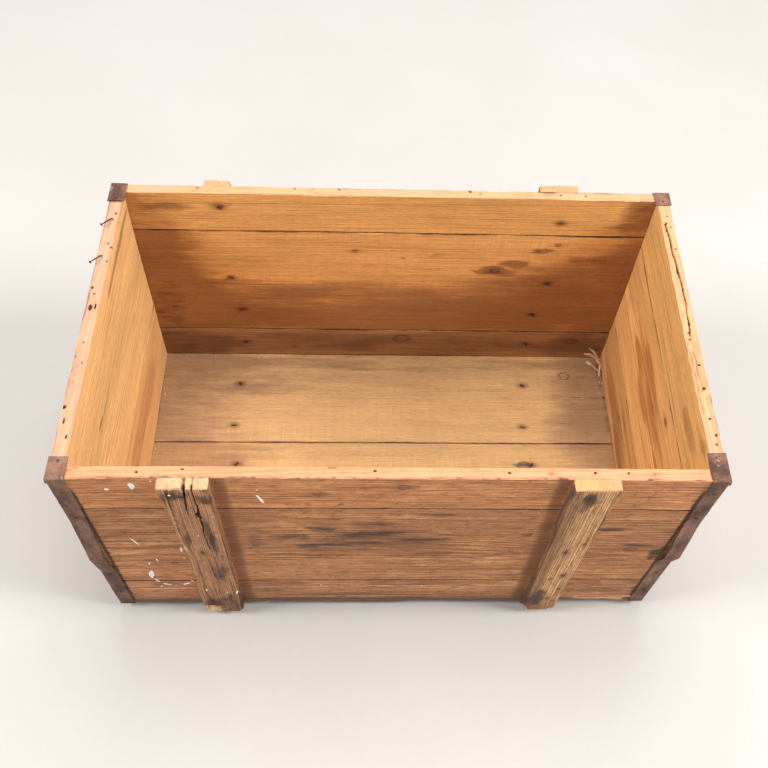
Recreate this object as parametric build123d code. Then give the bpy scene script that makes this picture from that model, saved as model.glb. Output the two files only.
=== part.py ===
from build123d import *
import os

# An open nailed softwood shipping crate that has lost its lid. Millimetres, +Z up, front wall at -Y.
# Origin: on the ground, under the middle of the crate.

# Overall sizes
crate_length = 900.0
crate_depth = 524.0
wall_thickness = 20.0
end_thickness = 20.0
floor_thickness = 15.0
skid_thickness = 16.0
batten_thickness = 17.0
body_height = 460.0

# Heights above the ground
floor_underside = skid_thickness
floor_top = floor_underside + floor_thickness
rim = floor_underside + body_height

# Widths of the boards, from the bottom up and from the front to the back; the last one takes the rest
front_board_widths = {"front_board_bottom": 86.0, "front_board_middle": 268.0, "front_board_top": None}
back_board_widths = {"back_board_bottom": 86.0, "back_board_middle": 273.0, "back_board_top": None}
left_board_widths = {"left_end_board_bottom": 160.0, "left_end_board_top": None}
right_board_widths = {"right_end_board_bottom": 129.0, "right_end_board_middle": 207.0, "right_end_board_top": None}
floor_board_widths = {"floor_board_front": 162.0, "floor_board_middle": 143.0, "floor_board_back": None}

# Tongue and groove along the board edges
tongue_thickness = 6.0
tongue_height = 6.0
groove_extra_depth = 0.5

# Vertical battens: centre and width at the top, then at the bottom, as positions along X
battens = {
    "front_batten_left": {"side": -1, "top": (-272.5, 64.0), "bottom": (-272.5, 64.0)},
    "front_batten_right": {"side": -1, "top": (271.0, 62.0), "bottom": (265.0, 54.0)},
    "back_batten_left": {"side": 1, "top": (-284.0, 54.0), "bottom": (-280.0, 60.0)},
    "back_batten_right": {"side": 1, "top": (272.0, 64.0), "bottom": (270.0, 62.0)},
}

# Skids under the floor, as centres along X
skid_width = 64.0
skids = {"skid_left": -278.0, "skid_right": 270.0}

# Clinched nails, as heights above the floor's underside and places across each batten or along each skid
clinch_nail_radius = 1.3
clinch_head_radius = 3.2
clinch_head_thickness = 1.2
clinch_tip_length = 9.0
batten_nails_at = {
    "front_batten_left": ((58.0, 6.0), (160.0, 12.0), (253.0, -2.0), (437.0, -6.0)),
    "front_batten_right": ((58.0, 6.0), (160.0, 12.0), (253.0, -2.0), (437.0, -6.0)),
    "back_batten_left": ((60.0, 12.0), (160.0, 16.0), (255.0, -2.0), (432.0, 0.0)),
    "back_batten_right": ((63.0, 0.0), (158.0, -2.0), (248.0, 16.0), (405.0, 14.0)),
}
skid_nail_places = (-195.0, -95.0, 0.0, 79.0, 176.0)
skid_nail_offsets = (8.0, -6.0, 6.0, -12.0, -5.0)

# Plain nails that hold the walls and the floor together
wall_nail_radius = 1.4
wall_nail_head_radius = 3.2
wall_nail_head_thickness = 1.2
wall_nail_length = 55.0
floor_nail_length = 50.0
wall_nail_heights = (30.0, 88.0, 112.0, 205.0, 300.0, 382.0, 435.0)
floor_nail_places_long = (-410.0, -200.0, -70.0, 70.0, 200.0, 410.0)
floor_nail_places_end = (-195.0, -130.0, -70.0, 15.0, 80.0, 140.0, 195.0)

# Sheet iron angles on the corners. Each is a leg on the long wall, a leg on the end, and a cap folded
# over the rim from the long wall. The wood has shrunk more than the iron, so each angle buckles: it
# leaves the corner at one height, stands out most at the next and is back on the wood at the last.
iron_leg = 25.0
iron_thickness = 1.5
corner_irons = {
    "corner_iron_front_left": {"sides": (-1, -1), "cap": 36.0, "buckle": ((145.0, 0.0), (198.0, 4.0), (335.0, 0.0))},
    "corner_iron_front_right": {"sides": (1, -1), "cap": 46.0, "buckle": ((178.0, 0.0), (206.0, 5.0), (330.0, 0.0))},
    "corner_iron_back_left": {"sides": (-1, 1), "cap": 43.0, "buckle": ((170.0, 0.0), (204.0, 5.0), (325.0, 0.0))},
    "corner_iron_back_right": {"sides": (1, 1), "cap": 31.0, "buckle": ((160.0, 0.0), (200.0, 3.0), (330.0, 0.0))},
}
iron_nail_radius = 1.0
iron_nail_length = 17.0
iron_nail_head_radius = 3.0
iron_nail_head_height = 1.4
iron_nail_heights = (56.0, 135.0, 346.0, 425.0)
iron_end_leg_nail_drop = 15.0
cap_nail_from_edge = 9.0

# Two lid nails left bent outwards on the left end's rim: places along X and Y, lean towards the front
lid_nail_radius = 1.1
lid_nail_head_radius = 2.2
lid_nail_head_thickness = 0.9
lid_nail_depth = 26.0
lid_nail_stub = 2.5
lid_nail_free_length = 22.0
lid_nail_rise = 14.0
lid_nails = ((-438.0, 188.0, 54.0), (-442.0, 114.0, 54.0))

half_length = crate_length / 2
half_depth = crate_depth / 2
wall_bottom_align = (Align.CENTER, Align.CENTER, Align.MIN)


def board(length, thickness, width, tongue, groove):
    """A board along X on its edge: width up from Z=0, with a tongue on top or a groove below."""
    shape = Box(length, thickness, width, align=wall_bottom_align)
    if tongue:
        tongue_part = Box(length, tongue_thickness, tongue_height, align=wall_bottom_align)
        shape += Pos(0, 0, width) * tongue_part
    if groove:
        groove_depth = tongue_height + groove_extra_depth
        shape -= Box(length, tongue_thickness, groove_depth, align=wall_bottom_align)
    return shape


def stack(widths, total, length, thickness):
    """Boards on top of each other, from Z=0 up to total, each with its name."""
    placed = {}
    start = 0.0
    names = list(widths)
    for name in names:
        width = widths[name] or total - start
        is_first = name == names[0]
        is_last = name == names[-1]
        placed[name] = Pos(0, 0, start) * board(length, thickness, width, not is_last, not is_first)
        start += width
    return placed


def wall_boards():
    """The boards of the two long walls and the two ends, standing on the floor."""
    wall_height = rim - floor_top
    end_length = crate_depth - 2 * wall_thickness
    middle_y = half_depth - wall_thickness / 2
    middle_x = half_length - end_thickness / 2
    front = stack(front_board_widths, wall_height, crate_length, wall_thickness)
    back = stack(back_board_widths, wall_height, crate_length, wall_thickness)
    left = stack(left_board_widths, wall_height, end_length, end_thickness)
    right = stack(right_board_widths, wall_height, end_length, end_thickness)
    places = (
        (front, Pos(0, -middle_y, floor_top)),
        (back, Pos(0, middle_y, floor_top)),
        (left, Pos(-middle_x, 0, floor_top) * Rot(0, 0, 90)),
        (right, Pos(middle_x, 0, floor_top) * Rot(0, 0, 90)),
    )
    return {name: place * shape for group, place in places for name, shape in group.items()}


def floor_boards():
    """The floor boards, lengthwise under all four walls, from the front to the back."""
    stacked = stack(floor_board_widths, crate_depth, crate_length, floor_thickness)
    place = Pos(0, -half_depth, floor_underside + floor_thickness / 2) * Rot(-90, 0, 0)
    return {name: place * shape for name, shape in stacked.items()}


def batten(top, bottom, side):
    """A vertical batten on the outside of a long wall, from the floor's underside to the rim."""
    top_centre, top_width = top
    bottom_centre, bottom_width = bottom
    outline = Polyline(
        (bottom_centre - bottom_width / 2, floor_underside),
        (bottom_centre + bottom_width / 2, floor_underside),
        (top_centre + top_width / 2, rim),
        (top_centre - top_width / 2, rim),
        close=True,
    )
    face = make_face(Plane.XZ * outline)
    inner_face = side * half_depth
    return Pos(0, inner_face, 0) * extrude(face, amount=batten_thickness, dir=(0, side, 0))


def batten_centre(spec, height):
    """Where the middle of a batten is along X, at a height above the floor's underside."""
    share = height / body_height
    return spec["bottom"][0] * (1 - share) + spec["top"][0] * share


def skid(centre):
    """A skid under the floor, from the front wall's face to the back wall's face."""
    return Pos(centre, 0, 0) * Box(skid_width, crate_depth, skid_thickness, align=wall_bottom_align)


def straight_nail(radius, length, head_radius, head_thickness):
    """A nail that points down -Z, with the top of its flat head at Z=0."""
    top_align = (Align.CENTER, Align.CENTER, Align.MAX)
    head = Cylinder(head_radius, head_thickness, align=top_align)
    return head + Cylinder(radius, length, align=top_align)


def domed_nail():
    """A nail for the iron that points down -Z, with its domed head standing on Z=0."""
    sphere_radius = (iron_nail_head_radius**2 + iron_nail_head_height**2) / (2 * iron_nail_head_height)
    ball = Pos(0, 0, iron_nail_head_height - sphere_radius) * Sphere(sphere_radius)
    above = Box(4 * sphere_radius, 4 * sphere_radius, 2 * sphere_radius, align=wall_bottom_align)
    shank = Cylinder(iron_nail_radius, iron_nail_length, align=(Align.CENTER, Align.CENTER, Align.MAX))
    return (ball & above) + shank


def clinched_nail(grip):
    """A nail that points down -Z through wood of the grip's thickness, its tip bent along +X."""
    shank = straight_nail(clinch_nail_radius, grip, clinch_head_radius, clinch_head_thickness)
    elbow = Sphere(clinch_nail_radius)
    tip = Rot(0, 90, 0) * Cylinder(clinch_nail_radius, clinch_tip_length, align=wall_bottom_align)
    return shank + Pos(0, 0, -grip) * (elbow + tip)


def batten_nails(name, spec):
    """The clinched nails of one batten, with their tips bent over on the inside of the wall."""
    side = spec["side"]
    outer_face = side * (half_depth + batten_thickness)
    turn = Rot(-90 * side, 0, 0)
    grip = batten_thickness + wall_thickness
    nails = []
    for height, offset in batten_nails_at[name]:
        x = batten_centre(spec, height) + offset
        tip_turn = Rot(0, 0, 60 + 8 * offset)
        nails.append(Pos(x, outer_face, floor_underside + height) * turn * tip_turn * clinched_nail(grip))
    return nails


def skid_nails(centre):
    """The clinched nails of one skid, driven up from below, with their tips bent over on the floor."""
    nails = []
    grip = skid_thickness + floor_thickness
    for place, offset in zip(skid_nail_places, skid_nail_offsets):
        tip_turn = Rot(0, 0, 80 + 6 * offset)
        nails.append(Pos(centre + offset, place, 0) * Rot(180, 0, 0) * tip_turn * clinched_nail(grip))
    return nails


def plain_nail(length):
    """A wall or floor nail that points down -Z, with its head flush at Z=0."""
    return straight_nail(wall_nail_radius, length, wall_nail_head_radius, wall_nail_head_thickness)


def wall_nails(side):
    """Nails through both ends of the boards of one long wall, into the edges of the end boards."""
    nails = []
    for end in (-1, 1):
        x = end * (half_length - end_thickness / 2)
        for height in wall_nail_heights:
            place = Pos(x, side * half_depth, floor_underside + height) * Rot(-90 * side, 0, 0)
            nails.append(place * plain_nail(wall_nail_length))
    return nails


def floor_nails():
    """Nails up through the floor boards into the bottom edges of the four walls."""
    upwards = Rot(180, 0, 0)
    wall_y = half_depth - wall_thickness / 2
    end_x = half_length - end_thickness / 2
    long_places = [(x, side * wall_y) for side in (-1, 1) for x in floor_nail_places_long]
    end_places = [(side * end_x, y) for side in (-1, 1) for y in floor_nail_places_end]
    return [
        Pos(x, y, floor_underside) * upwards * plain_nail(floor_nail_length)
        for x, y in long_places + end_places
    ]


def angle_section(x_side, y_side, standout, height):
    """The angle's section at a height, standing out from the corner by the same distance in X and Y."""
    inner_x = x_side * (half_length + standout)
    inner_y = y_side * (half_depth + standout)
    outer_x = inner_x + x_side * iron_thickness
    outer_y = inner_y + y_side * iron_thickness
    leg_x = outer_x - x_side * iron_leg
    leg_y = outer_y - y_side * iron_leg
    outline = Polyline(
        (leg_x, inner_y, height),
        (inner_x, inner_y, height),
        (inner_x, leg_y, height),
        (outer_x, leg_y, height),
        (outer_x, outer_y, height),
        (leg_x, outer_y, height),
        close=True,
    )
    return make_face(outline)


def corner_iron(spec):
    """One buckled corner angle with its cap folded over the rim."""
    x_side, y_side = spec["sides"]
    stations = ((0.0, 0.0),) + spec["buckle"] + ((body_height, 0.0),)
    sections = [
        angle_section(x_side, y_side, standout, floor_underside + height)
        for height, standout in stations
    ]
    angle = loft(sections, ruled=True)
    cap_x = x_side * (half_length + iron_thickness - iron_leg / 2)
    cap_y = y_side * (half_depth + iron_thickness - spec["cap"] / 2)
    cap = Pos(cap_x, cap_y, rim) * Box(iron_leg, spec["cap"], iron_thickness, align=wall_bottom_align)
    return angle + cap


def corner_iron_nails(spec):
    """The nails of one corner angle: along both legs, and one through the cap."""
    x_side, y_side = spec["sides"]
    leg_middle = iron_leg / 2 - iron_thickness
    leg_x = x_side * (half_length - leg_middle)
    leg_y = y_side * (half_depth - leg_middle)
    face_x = x_side * (half_length + iron_thickness)
    face_y = y_side * (half_depth + iron_thickness)
    nails = []
    for height in iron_nail_heights:
        wall_z = floor_underside + height
        end_z = wall_z - iron_end_leg_nail_drop
        nails.append(Pos(leg_x, face_y, wall_z) * Rot(-90 * y_side, 0, 0) * domed_nail())
        nails.append(Pos(face_x, leg_y, end_z) * Rot(0, 90 * x_side, 0) * domed_nail())
    cap_y = y_side * (half_depth - spec["cap"] + cap_nail_from_edge)
    nails.append(Pos(leg_x, cap_y, rim + iron_thickness) * domed_nail())
    return nails


def lid_nail(x, place, lean):
    """A lid nail in the left rim, bent over outwards above the wood, with its head at the free end."""
    shank = Cylinder(lid_nail_radius, lid_nail_depth + lid_nail_stub, align=wall_bottom_align)
    elbow = Sphere(lid_nail_radius)
    arm = Cylinder(lid_nail_radius, lid_nail_free_length, align=wall_bottom_align)
    head = Cylinder(lid_nail_head_radius, lid_nail_head_thickness, align=wall_bottom_align)
    bent_end = elbow + arm + Pos(0, 0, lid_nail_free_length) * head
    outwards = Rot(0, 0, lean) * Rot(0, lid_nail_rise - 90, 0)
    below = Pos(x, place, rim - lid_nail_depth) * shank
    return below + Pos(x, place, rim + lid_nail_stub) * outwards * bent_end


def build():
    """Every node of the crate, by name."""
    wood = wall_boards()
    wood.update(floor_boards())
    iron = {}
    nails = {}
    for name, spec in battens.items():
        wood[name] = batten(spec["top"], spec["bottom"], spec["side"])
        nails[name + "_nails"] = batten_nails(name, spec)
    for name, centre in skids.items():
        wood[name] = skid(centre)
        nails[name + "_nails"] = skid_nails(centre)
    nails["front_wall_nails"] = wall_nails(-1)
    nails["back_wall_nails"] = wall_nails(1)
    nails["floor_nails"] = floor_nails()
    for name, spec in corner_irons.items():
        iron[name] = corner_iron(spec)
        nails[name + "_nails"] = corner_iron_nails(spec)
    nails["bent_lid_nails"] = [lid_nail(x, place, lean) for x, place, lean in lid_nails]
    every_nail = [nail for group in nails.values() for nail in group]
    nodes = {}
    for name, shape in {**wood, **iron}.items():
        box = shape.bounding_box()
        near = [nail for nail in every_nail if boxes_meet(box, nail.bounding_box())]
        nodes[name] = shape.cut(*near) if near else shape
    for name, group in nails.items():
        nodes[name] = Compound(children=group)
    return nodes


def boxes_meet(a, b):
    """Whether two bounding boxes overlap or touch."""
    low = all(p <= q for p, q in zip(tuple(a.min), tuple(b.max)))
    high = all(p >= q for p, q in zip(tuple(a.max), tuple(b.min)))
    return low and high


os.makedirs("parts", exist_ok=True)
for node, shape in build().items():
    export_step(shape, f"parts/{node}.step")
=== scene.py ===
"""The looks of an open shipping crate that has lost its lid: old boards, split battens, rusty irons."""

import math

import bmesh
import bpy
import numpy as np
from mathutils import Euler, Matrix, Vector


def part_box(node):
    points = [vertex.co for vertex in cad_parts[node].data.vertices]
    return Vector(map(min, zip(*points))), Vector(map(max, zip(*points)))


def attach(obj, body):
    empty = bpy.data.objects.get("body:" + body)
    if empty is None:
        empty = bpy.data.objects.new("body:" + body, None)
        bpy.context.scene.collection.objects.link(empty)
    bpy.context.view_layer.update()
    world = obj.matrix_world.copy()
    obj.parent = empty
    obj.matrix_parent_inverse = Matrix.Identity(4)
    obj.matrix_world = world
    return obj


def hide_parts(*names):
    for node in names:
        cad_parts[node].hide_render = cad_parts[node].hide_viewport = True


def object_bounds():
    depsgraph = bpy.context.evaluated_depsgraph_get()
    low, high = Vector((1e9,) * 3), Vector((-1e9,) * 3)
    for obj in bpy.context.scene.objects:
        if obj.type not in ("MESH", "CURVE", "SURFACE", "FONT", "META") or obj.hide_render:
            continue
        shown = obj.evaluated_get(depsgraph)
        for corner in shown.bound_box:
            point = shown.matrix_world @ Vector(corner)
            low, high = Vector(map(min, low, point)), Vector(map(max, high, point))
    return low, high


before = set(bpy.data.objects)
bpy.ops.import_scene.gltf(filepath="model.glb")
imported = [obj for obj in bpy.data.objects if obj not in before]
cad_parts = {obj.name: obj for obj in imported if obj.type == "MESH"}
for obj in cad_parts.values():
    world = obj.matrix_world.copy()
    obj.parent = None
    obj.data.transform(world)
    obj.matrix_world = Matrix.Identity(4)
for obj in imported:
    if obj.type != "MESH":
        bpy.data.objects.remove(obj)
cad_lo, cad_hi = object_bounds()

MM = 0.001
X, Y, Z = 0, 1, 2


def mm(*values):
    """Millimetres as an array in metres."""
    return np.array(values, float) * MM


def box(node):
    """A node's lowest and highest corners, as arrays in metres."""
    lo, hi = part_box(node)
    return np.array(lo), np.array(hi)


# ---------------------------------------------------------------- main measures, all read from the frame
half_length = box("front_board_bottom")[1][X]
half_depth = -box("front_board_bottom")[0][Y]
wall_inner_y = -box("front_board_bottom")[1][Y]
end_inner_x = box("right_end_board_bottom")[0][X]
underside = box("floor_board_front")[0][Z]
floor_top = box("floor_board_front")[1][Z]
rim = box("front_board_top")[1][Z]
batten_face = -box("front_batten_left")[0][Y]
body_height = rim - underside

# The boards of each wall and of the floor in order across the grain, their axes along, across and through
# the board, and the way through the board that leads inside
GROUPS = {
    "front": (("front_board_bottom", "front_board_middle", "front_board_top"), (X, Z, Y), 1),
    "back": (("back_board_bottom", "back_board_middle", "back_board_top"), (X, Z, Y), -1),
    "left": (("left_end_board_bottom", "left_end_board_top"), (Y, Z, X), 1),
    "right": (("right_end_board_bottom", "right_end_board_middle", "right_end_board_top"), (Y, Z, X), -1),
    "floor": (("floor_board_front", "floor_board_middle", "floor_board_back"), (X, Y, Z), 1),
}
tongue_height = box("front_board_bottom")[1][Z] - box("front_board_middle")[0][Z]
tongue_thickness = 6 * MM
groove_play = 0.5 * MM

# How far each corner of the crate, (left/right, front/back, low/high), is out of square, in millimetres
RACKED = {
    (-1, -1, -1): (-1, -2, 0),
    (-1, -1, 1): (-3, -2, 0),
    (-1, 1, -1): (-1, -2, 0),
    (-1, 1, 1): (5, 1, 0),
    (1, -1, -1): (-4, 3, 0),
    (1, -1, 1): (0, 1, 0),
    (1, 1, -1): (3, -1, 0),
    (1, 1, 1): (0.5, 1, 1),
}


# ---------------------------------------------------------------- noise
def noise(points, size, seed):
    """Smooth noise from -1 to 1 whose blobs are about size across, one size or one for each axis."""
    p = points / np.asarray(size, float) + seed * 7.13
    cell = np.floor(p)
    t = p - cell
    t = t * t * (3 - 2 * t)
    keys = np.array([374761393, 668265263, 2246822519], np.uint32)
    low = cell.astype(np.int64).astype(np.uint32) * keys
    low[:, 0] += np.uint32((seed * 974634777 + 12345) % 2**32)
    high = low + keys
    total = np.zeros(len(p))
    for i in range(8):
        pick = ((i >> 2) & 1, (i >> 1) & 1, i & 1)
        mixed = np.zeros(len(p), np.uint32)
        weight = np.ones(len(p))
        for axis, up in enumerate(pick):
            mixed += (high if up else low)[:, axis]
            weight *= t[:, axis] if up else 1 - t[:, axis]
        mixed = (mixed ^ (mixed >> np.uint32(13))) * np.uint32(1274126177)
        mixed ^= mixed >> np.uint32(16)
        total += weight * (mixed / 2.0**31 - 1)
    return total


def fractal(points, size, seed):
    """Noise with two finer noises on it, from about -1 to 1."""
    size = np.asarray(size, float)
    shares = (1, 1 / 2, 1 / 4)
    parts = [noise(points, size * share, seed + i) * share for i, share in enumerate(shares)]
    return sum(parts) / sum(shares) * 1.3


def seed_of(node):
    """A number for a node's own noise, from its name."""
    return sum(ord(letter) for letter in node)


def rise(values, low, high):
    """A smooth step from 0 at low to 1 at high."""
    t = np.clip((values - low) / (high - low), 0, 1)
    return t * t * (3 - 2 * t)


# ---------------------------------------------------------------- pieces while they are shaped
class Piece:
    """The points and faces of a piece, with its painted fields and the knots and nail stains on it.

    Its axes run along the grain, across it and through the wood. Inward is +1 or -1, the way through the
    wood that leads to the crate's inside.
    """

    def __init__(self, points, faces, axes=(X, Y, Z), node=None, inward=1):
        self.points = np.array(points, float)
        self.faces = faces
        self.axes = axes
        self.rest = self.points.copy()
        self.fields = {name: np.zeros(len(self.points)) for name in ("outer", "fresh", "grime", "dark")}
        self.knots = []
        self.stains = []
        self.inward = inward
        if node:
            self.lo, self.hi = box(node)
            self.seed = seed_of(node)

    def vector(self, along, across, through):
        """A vector from its parts in millimetres along, across and through the wood."""
        made = np.zeros(3)
        made[list(self.axes)] = mm(along, across, through)
        return made

    def level(self, face):
        """The height through the wood of the inner or the outer face, and +1 or -1 for its outward way."""
        high = (self.inward > 0) == (face == "inner")
        through = self.axes[2]
        return (self.hi[through], 1) if high else (self.lo[through], -1)

    def paint(self, field, amount):
        """Adds to a painted field."""
        self.fields[field] = self.fields[field] + amount

    def blob(self, field, centre, radii, amount, seed):
        """Paints a soft, ragged blob."""
        radii = np.asarray(radii, float)
        offset = (self.rest - np.asarray(centre)) / radii
        near = np.abs(offset).max(1) < 1.7
        ragged_edge = 0.45 * fractal(self.rest[near], radii * 0.6, seed)
        distance = np.sqrt((offset[near] ** 2).sum(1)) + ragged_edge
        added = np.zeros(len(self.rest))
        added[near] = amount * (1 - rise(distance, 0.3, 1.15))
        self.paint(field, added)

    def carve(self, centre, radii, direction, seed, ragged, field=None, amount=1.0):
        """Pushes points out of an ellipsoid, along the direction into the piece."""
        centre = np.asarray(centre, float)
        radii = np.asarray(radii, float)
        direction = np.asarray(direction, float)
        near = np.abs(self.points - centre).max(1) < radii.max() * 1.6
        if not near.any():
            return
        points = self.points[near]
        grown = radii * (1 + ragged * noise(points, radii.mean() * 0.6, seed))[:, None]
        offset = (points - centre) / grown
        step = direction / grown
        a = (step**2).sum(1)
        b = (offset * step).sum(1)
        c = (offset**2).sum(1) - 1
        root = np.sqrt(np.maximum(b * b - a * c, 0))
        push = np.where(c < 0, (-b + root) / a, 0)
        self.points[near] = points + push[:, None] * direction
        if field:
            added = np.zeros(len(self.points))
            added[near] = amount * rise(push, 0, 0.4 * radii.min())
            self.paint(field, added)

    def crack(self, path, widths, depth, direction, reach, seed, field, amount):
        """Opens a crack along a path on the surface: width and depth fall from its start to its end."""
        path = np.asarray(path, float)
        direction = np.asarray(direction, float)
        flat = self.points - np.outer(self.points @ direction, direction)
        level = self.points @ direction
        best = np.full(len(flat), 1e9)
        share = np.zeros(len(flat))
        count = len(path) - 1
        for i in range(count):
            start = path[i] - direction * (path[i] @ direction)
            end = path[i + 1] - direction * (path[i + 1] @ direction)
            line = end - start
            t = np.clip(((flat - start) @ line) / (line @ line), 0, 1)
            distance = np.linalg.norm(flat - (start + t[:, None] * line), axis=1)
            closer = distance < best
            best = np.where(closer, distance, best)
            share = np.where(closer, (i + t) / count, share)
        width = (widths[0] + (widths[1] - widths[0]) * share) / 2
        width = width * (1 + 0.35 * noise(flat, 0.007, seed)) + 0.2 * MM
        depths = depth * (1 - 0.6 * share)
        inside = np.clip(1 - best / width, 0, 1) ** 0.45
        surface = level - path[0] @ direction
        at_surface = 1 - rise(surface, reach * 0.5, reach)
        push = depths * inside * at_surface
        self.points = self.points + push[:, None] * direction
        self.paint(field, amount * rise(inside * at_surface, 0.0, 0.5))


def wall_bows(points):
    """How far the long walls have drawn in towards their rims, where boards have worn thin or bowed."""
    x = points[:, X] / MM
    height = np.clip((points[:, Z] - underside) / body_height, 0, 1.02)
    front_share = np.clip((-points[:, Y] - wall_inner_y) / (half_depth - wall_inner_y), 0, 1)
    inner = np.interp(x, (-450, -380, -240, 0, 250, 450), (0.5, 1.8, 2.2, 1.8, 0.6, 0))
    outer = np.interp(x, (-450, -380, -240, 0, 200, 350, 450), (1.5, 4.4, 5.0, 4.2, 3.8, 2.8, 1.0))
    at_front = rise(-points[:, Y], wall_inner_y - 60 * MM, wall_inner_y - 5 * MM)
    front = (inner + (outer - inner) * front_share) * at_front * height**1.4
    back_share = np.clip((points[:, Y] - wall_inner_y) / (half_depth - wall_inner_y), 0, 1)
    thin = np.interp(x, (-450, -300, 0, 300, 450), (3.0, 4.4, 4.0, 3.4, 2.6))
    at_back = rise(points[:, Y], wall_inner_y - 50 * MM, wall_inner_y - 5 * MM)
    back = thin * (1 - back_share) * at_back * height**3
    return (front + back) * MM


def move_points(points):
    """Moves points with the crate's corners, which are out of square, and with the bowed long walls."""
    share = np.stack(
        [
            points[:, X] / half_length,
            points[:, Y] / half_depth,
            (points[:, Z] - underside) / body_height * 2 - 1,
        ],
        axis=1,
    )
    share = np.clip(share, -1.02, 1.02)
    moved = points.copy()
    for corner, shift in RACKED.items():
        weight = np.prod(1 + share * np.array(corner), axis=1) / 8
        moved += weight[:, None] * np.array(shift) * MM
    moved[:, Y] += wall_bows(points)
    return moved


def nearest_spot(rest, axes, spots):
    """For each point the way from the nearest spot, along and across the grain, and the spot's size."""
    along, across, _ = axes
    best = np.full(len(rest), 1e9)
    found = np.tile([1.0, 1.0, 0.001], (len(rest), 1))
    for a, b, radius in spots:
        da = rest[:, along] - a
        db = rest[:, across] - b
        distance = np.hypot(da, db) / radius
        closer = distance < best
        best = np.where(closer, distance, best)
        found[closer] = np.stack([da, db, np.full(len(da), radius)], axis=1)[closer]
    return found


def fill_mesh(mesh, points, faces):
    """Writes points and faces of any size into an empty mesh."""
    sizes = np.array([len(face) for face in faces], np.int32)
    corners = np.fromiter((i for face in faces for i in face), np.int32, int(sizes.sum()))
    mesh.vertices.add(len(points))
    mesh.vertices.foreach_set("co", points.astype(np.float32).ravel())
    mesh.loops.add(len(corners))
    mesh.loops.foreach_set("vertex_index", corners)
    mesh.polygons.add(len(sizes))
    mesh.polygons.foreach_set("loop_start", np.cumsum(sizes).astype(np.int32) - sizes)
    mesh.update(calc_edges=True)


def make_object(name, piece, material, nodes=(), sharp_angle=38, wood=False):
    """Turns a shaped piece into an object that rides on the crate and stands for the CAD nodes named."""
    mesh = bpy.data.meshes.new(name)
    points = move_points(piece.points)
    fill_mesh(mesh, points, piece.faces)
    if wood:
        middle = (piece.rest.min(0) + piece.rest.max(0)) / 2
        grain = (piece.rest - middle)[:, list(piece.axes)]
        vectors = {
            "grain": grain,
            "knot": nearest_spot(piece.rest, piece.axes, piece.knots),
            "stain": nearest_spot(piece.rest, piece.axes, piece.stains),
        }
        for key, values in vectors.items():
            layer = mesh.attributes.new(key, "FLOAT_VECTOR", "POINT")
            layer.data.foreach_set("vector", values.astype(np.float32).ravel())
        for key, values in piece.fields.items():
            layer = mesh.attributes.new(key, "FLOAT", "POINT")
            layer.data.foreach_set("value", np.clip(values, 0, 1.5).astype(np.float32))
    mesh.polygons.foreach_set("use_smooth", [True] * len(mesh.polygons))
    mesh.set_sharp_from_angle(angle=math.radians(sharp_angle))
    mesh.materials.append(material)
    mesh.update()
    obj = bpy.data.objects.new(name, mesh)
    bpy.context.scene.collection.objects.link(obj)
    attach(obj, "root")
    if nodes:
        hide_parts(*nodes)
    return obj


# ---------------------------------------------------------------- grids
EDGE_LINES = np.array([0, 0.35, 0.8, 1.4, 2.4]) * MM


def spread(start, end, step, edge=EDGE_LINES):
    """Values from start to end, about step apart and closer near both ends."""
    span = end - start
    if span < 2.5 * edge[-1]:
        return np.linspace(start, end, max(2, int(round(span / step)) + 1))
    count = max(1, int(round((span - 2 * edge[-1]) / step)))
    middle = np.linspace(edge[-1], span - edge[-1], count + 1)
    return start + np.concatenate([edge[:-1], middle, span - edge[:-1][::-1]])


def outward(points, faces):
    """The faces, turned so that they look outwards."""
    quads = np.array([f for f in faces if len(f) == 4])
    p = points[quads]
    volume = np.einsum("ij,ij->i", p[:, 0], np.cross(p[:, 1], p[:, 2])).sum()
    volume += np.einsum("ij,ij->i", p[:, 0], np.cross(p[:, 2], p[:, 3])).sum()
    return [f[::-1] for f in faces] if volume < 0 else faces


def tube(rings):
    """A closed skin over rings of points, all with the same number of points."""
    count, size = rings.shape[:2]
    points = rings.reshape(-1, 3)
    i, j = np.meshgrid(np.arange(count - 1), np.arange(size), indexing="ij")
    k = (j + 1) % size
    quads = np.stack([i * size + j, i * size + k, (i + 1) * size + k, (i + 1) * size + j], axis=-1)
    faces = [list(q) for q in quads.reshape(-1, 4)]
    faces.append(list(range(size))[::-1])
    faces.append([(count - 1) * size + n for n in range(size)])
    return points, outward(points, faces)


def box_grid(xs, ys, zs):
    """The skin of a box as a grid, with shared points along its edges."""
    shape = (len(xs), len(ys), len(zs))
    index = -np.ones(shape, int)
    on_skin = np.zeros(shape, bool)
    for axis in range(3):
        for end in (0, -1):
            face = [slice(None)] * 3
            face[axis] = end
            on_skin[tuple(face)] = True
    index[on_skin] = np.arange(on_skin.sum())
    i, j, k = np.nonzero(on_skin)
    points = np.stack([xs[i], ys[j], zs[k]], axis=1)
    faces = []
    for axis in range(3):
        for end in (0, -1):
            sheet = np.take(index, end, axis=axis)
            quads = np.stack([sheet[:-1, :-1], sheet[1:, :-1], sheet[1:, 1:], sheet[:-1, 1:]], axis=-1)
            quads = quads.reshape(-1, 4)
            flip = (end == 0) != (axis == 1)
            faces.extend(list(q[::-1]) if flip else list(q) for q in quads)
    return points, outward(points, faces)


def round_edges(piece, lo, hi, radius, apply_to=None):
    """Rounds the edges of the box from lo to hi; the radius may differ from point to point."""
    radius = np.broadcast_to(radius, len(piece.points))[:, None]
    inner = np.clip(piece.points, lo + radius, hi - radius)
    away = piece.points - inner
    length = np.linalg.norm(away, axis=1, keepdims=True)
    tiny = 1e-9
    pulled_in = away / np.maximum(length, tiny) * np.minimum(radius, length)
    rounded = inner + np.where(length > tiny, pulled_in, 0)
    if apply_to is None:
        piece.points = rounded
    else:
        piece.points = np.where(apply_to[:, None], rounded, piece.points)


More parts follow.
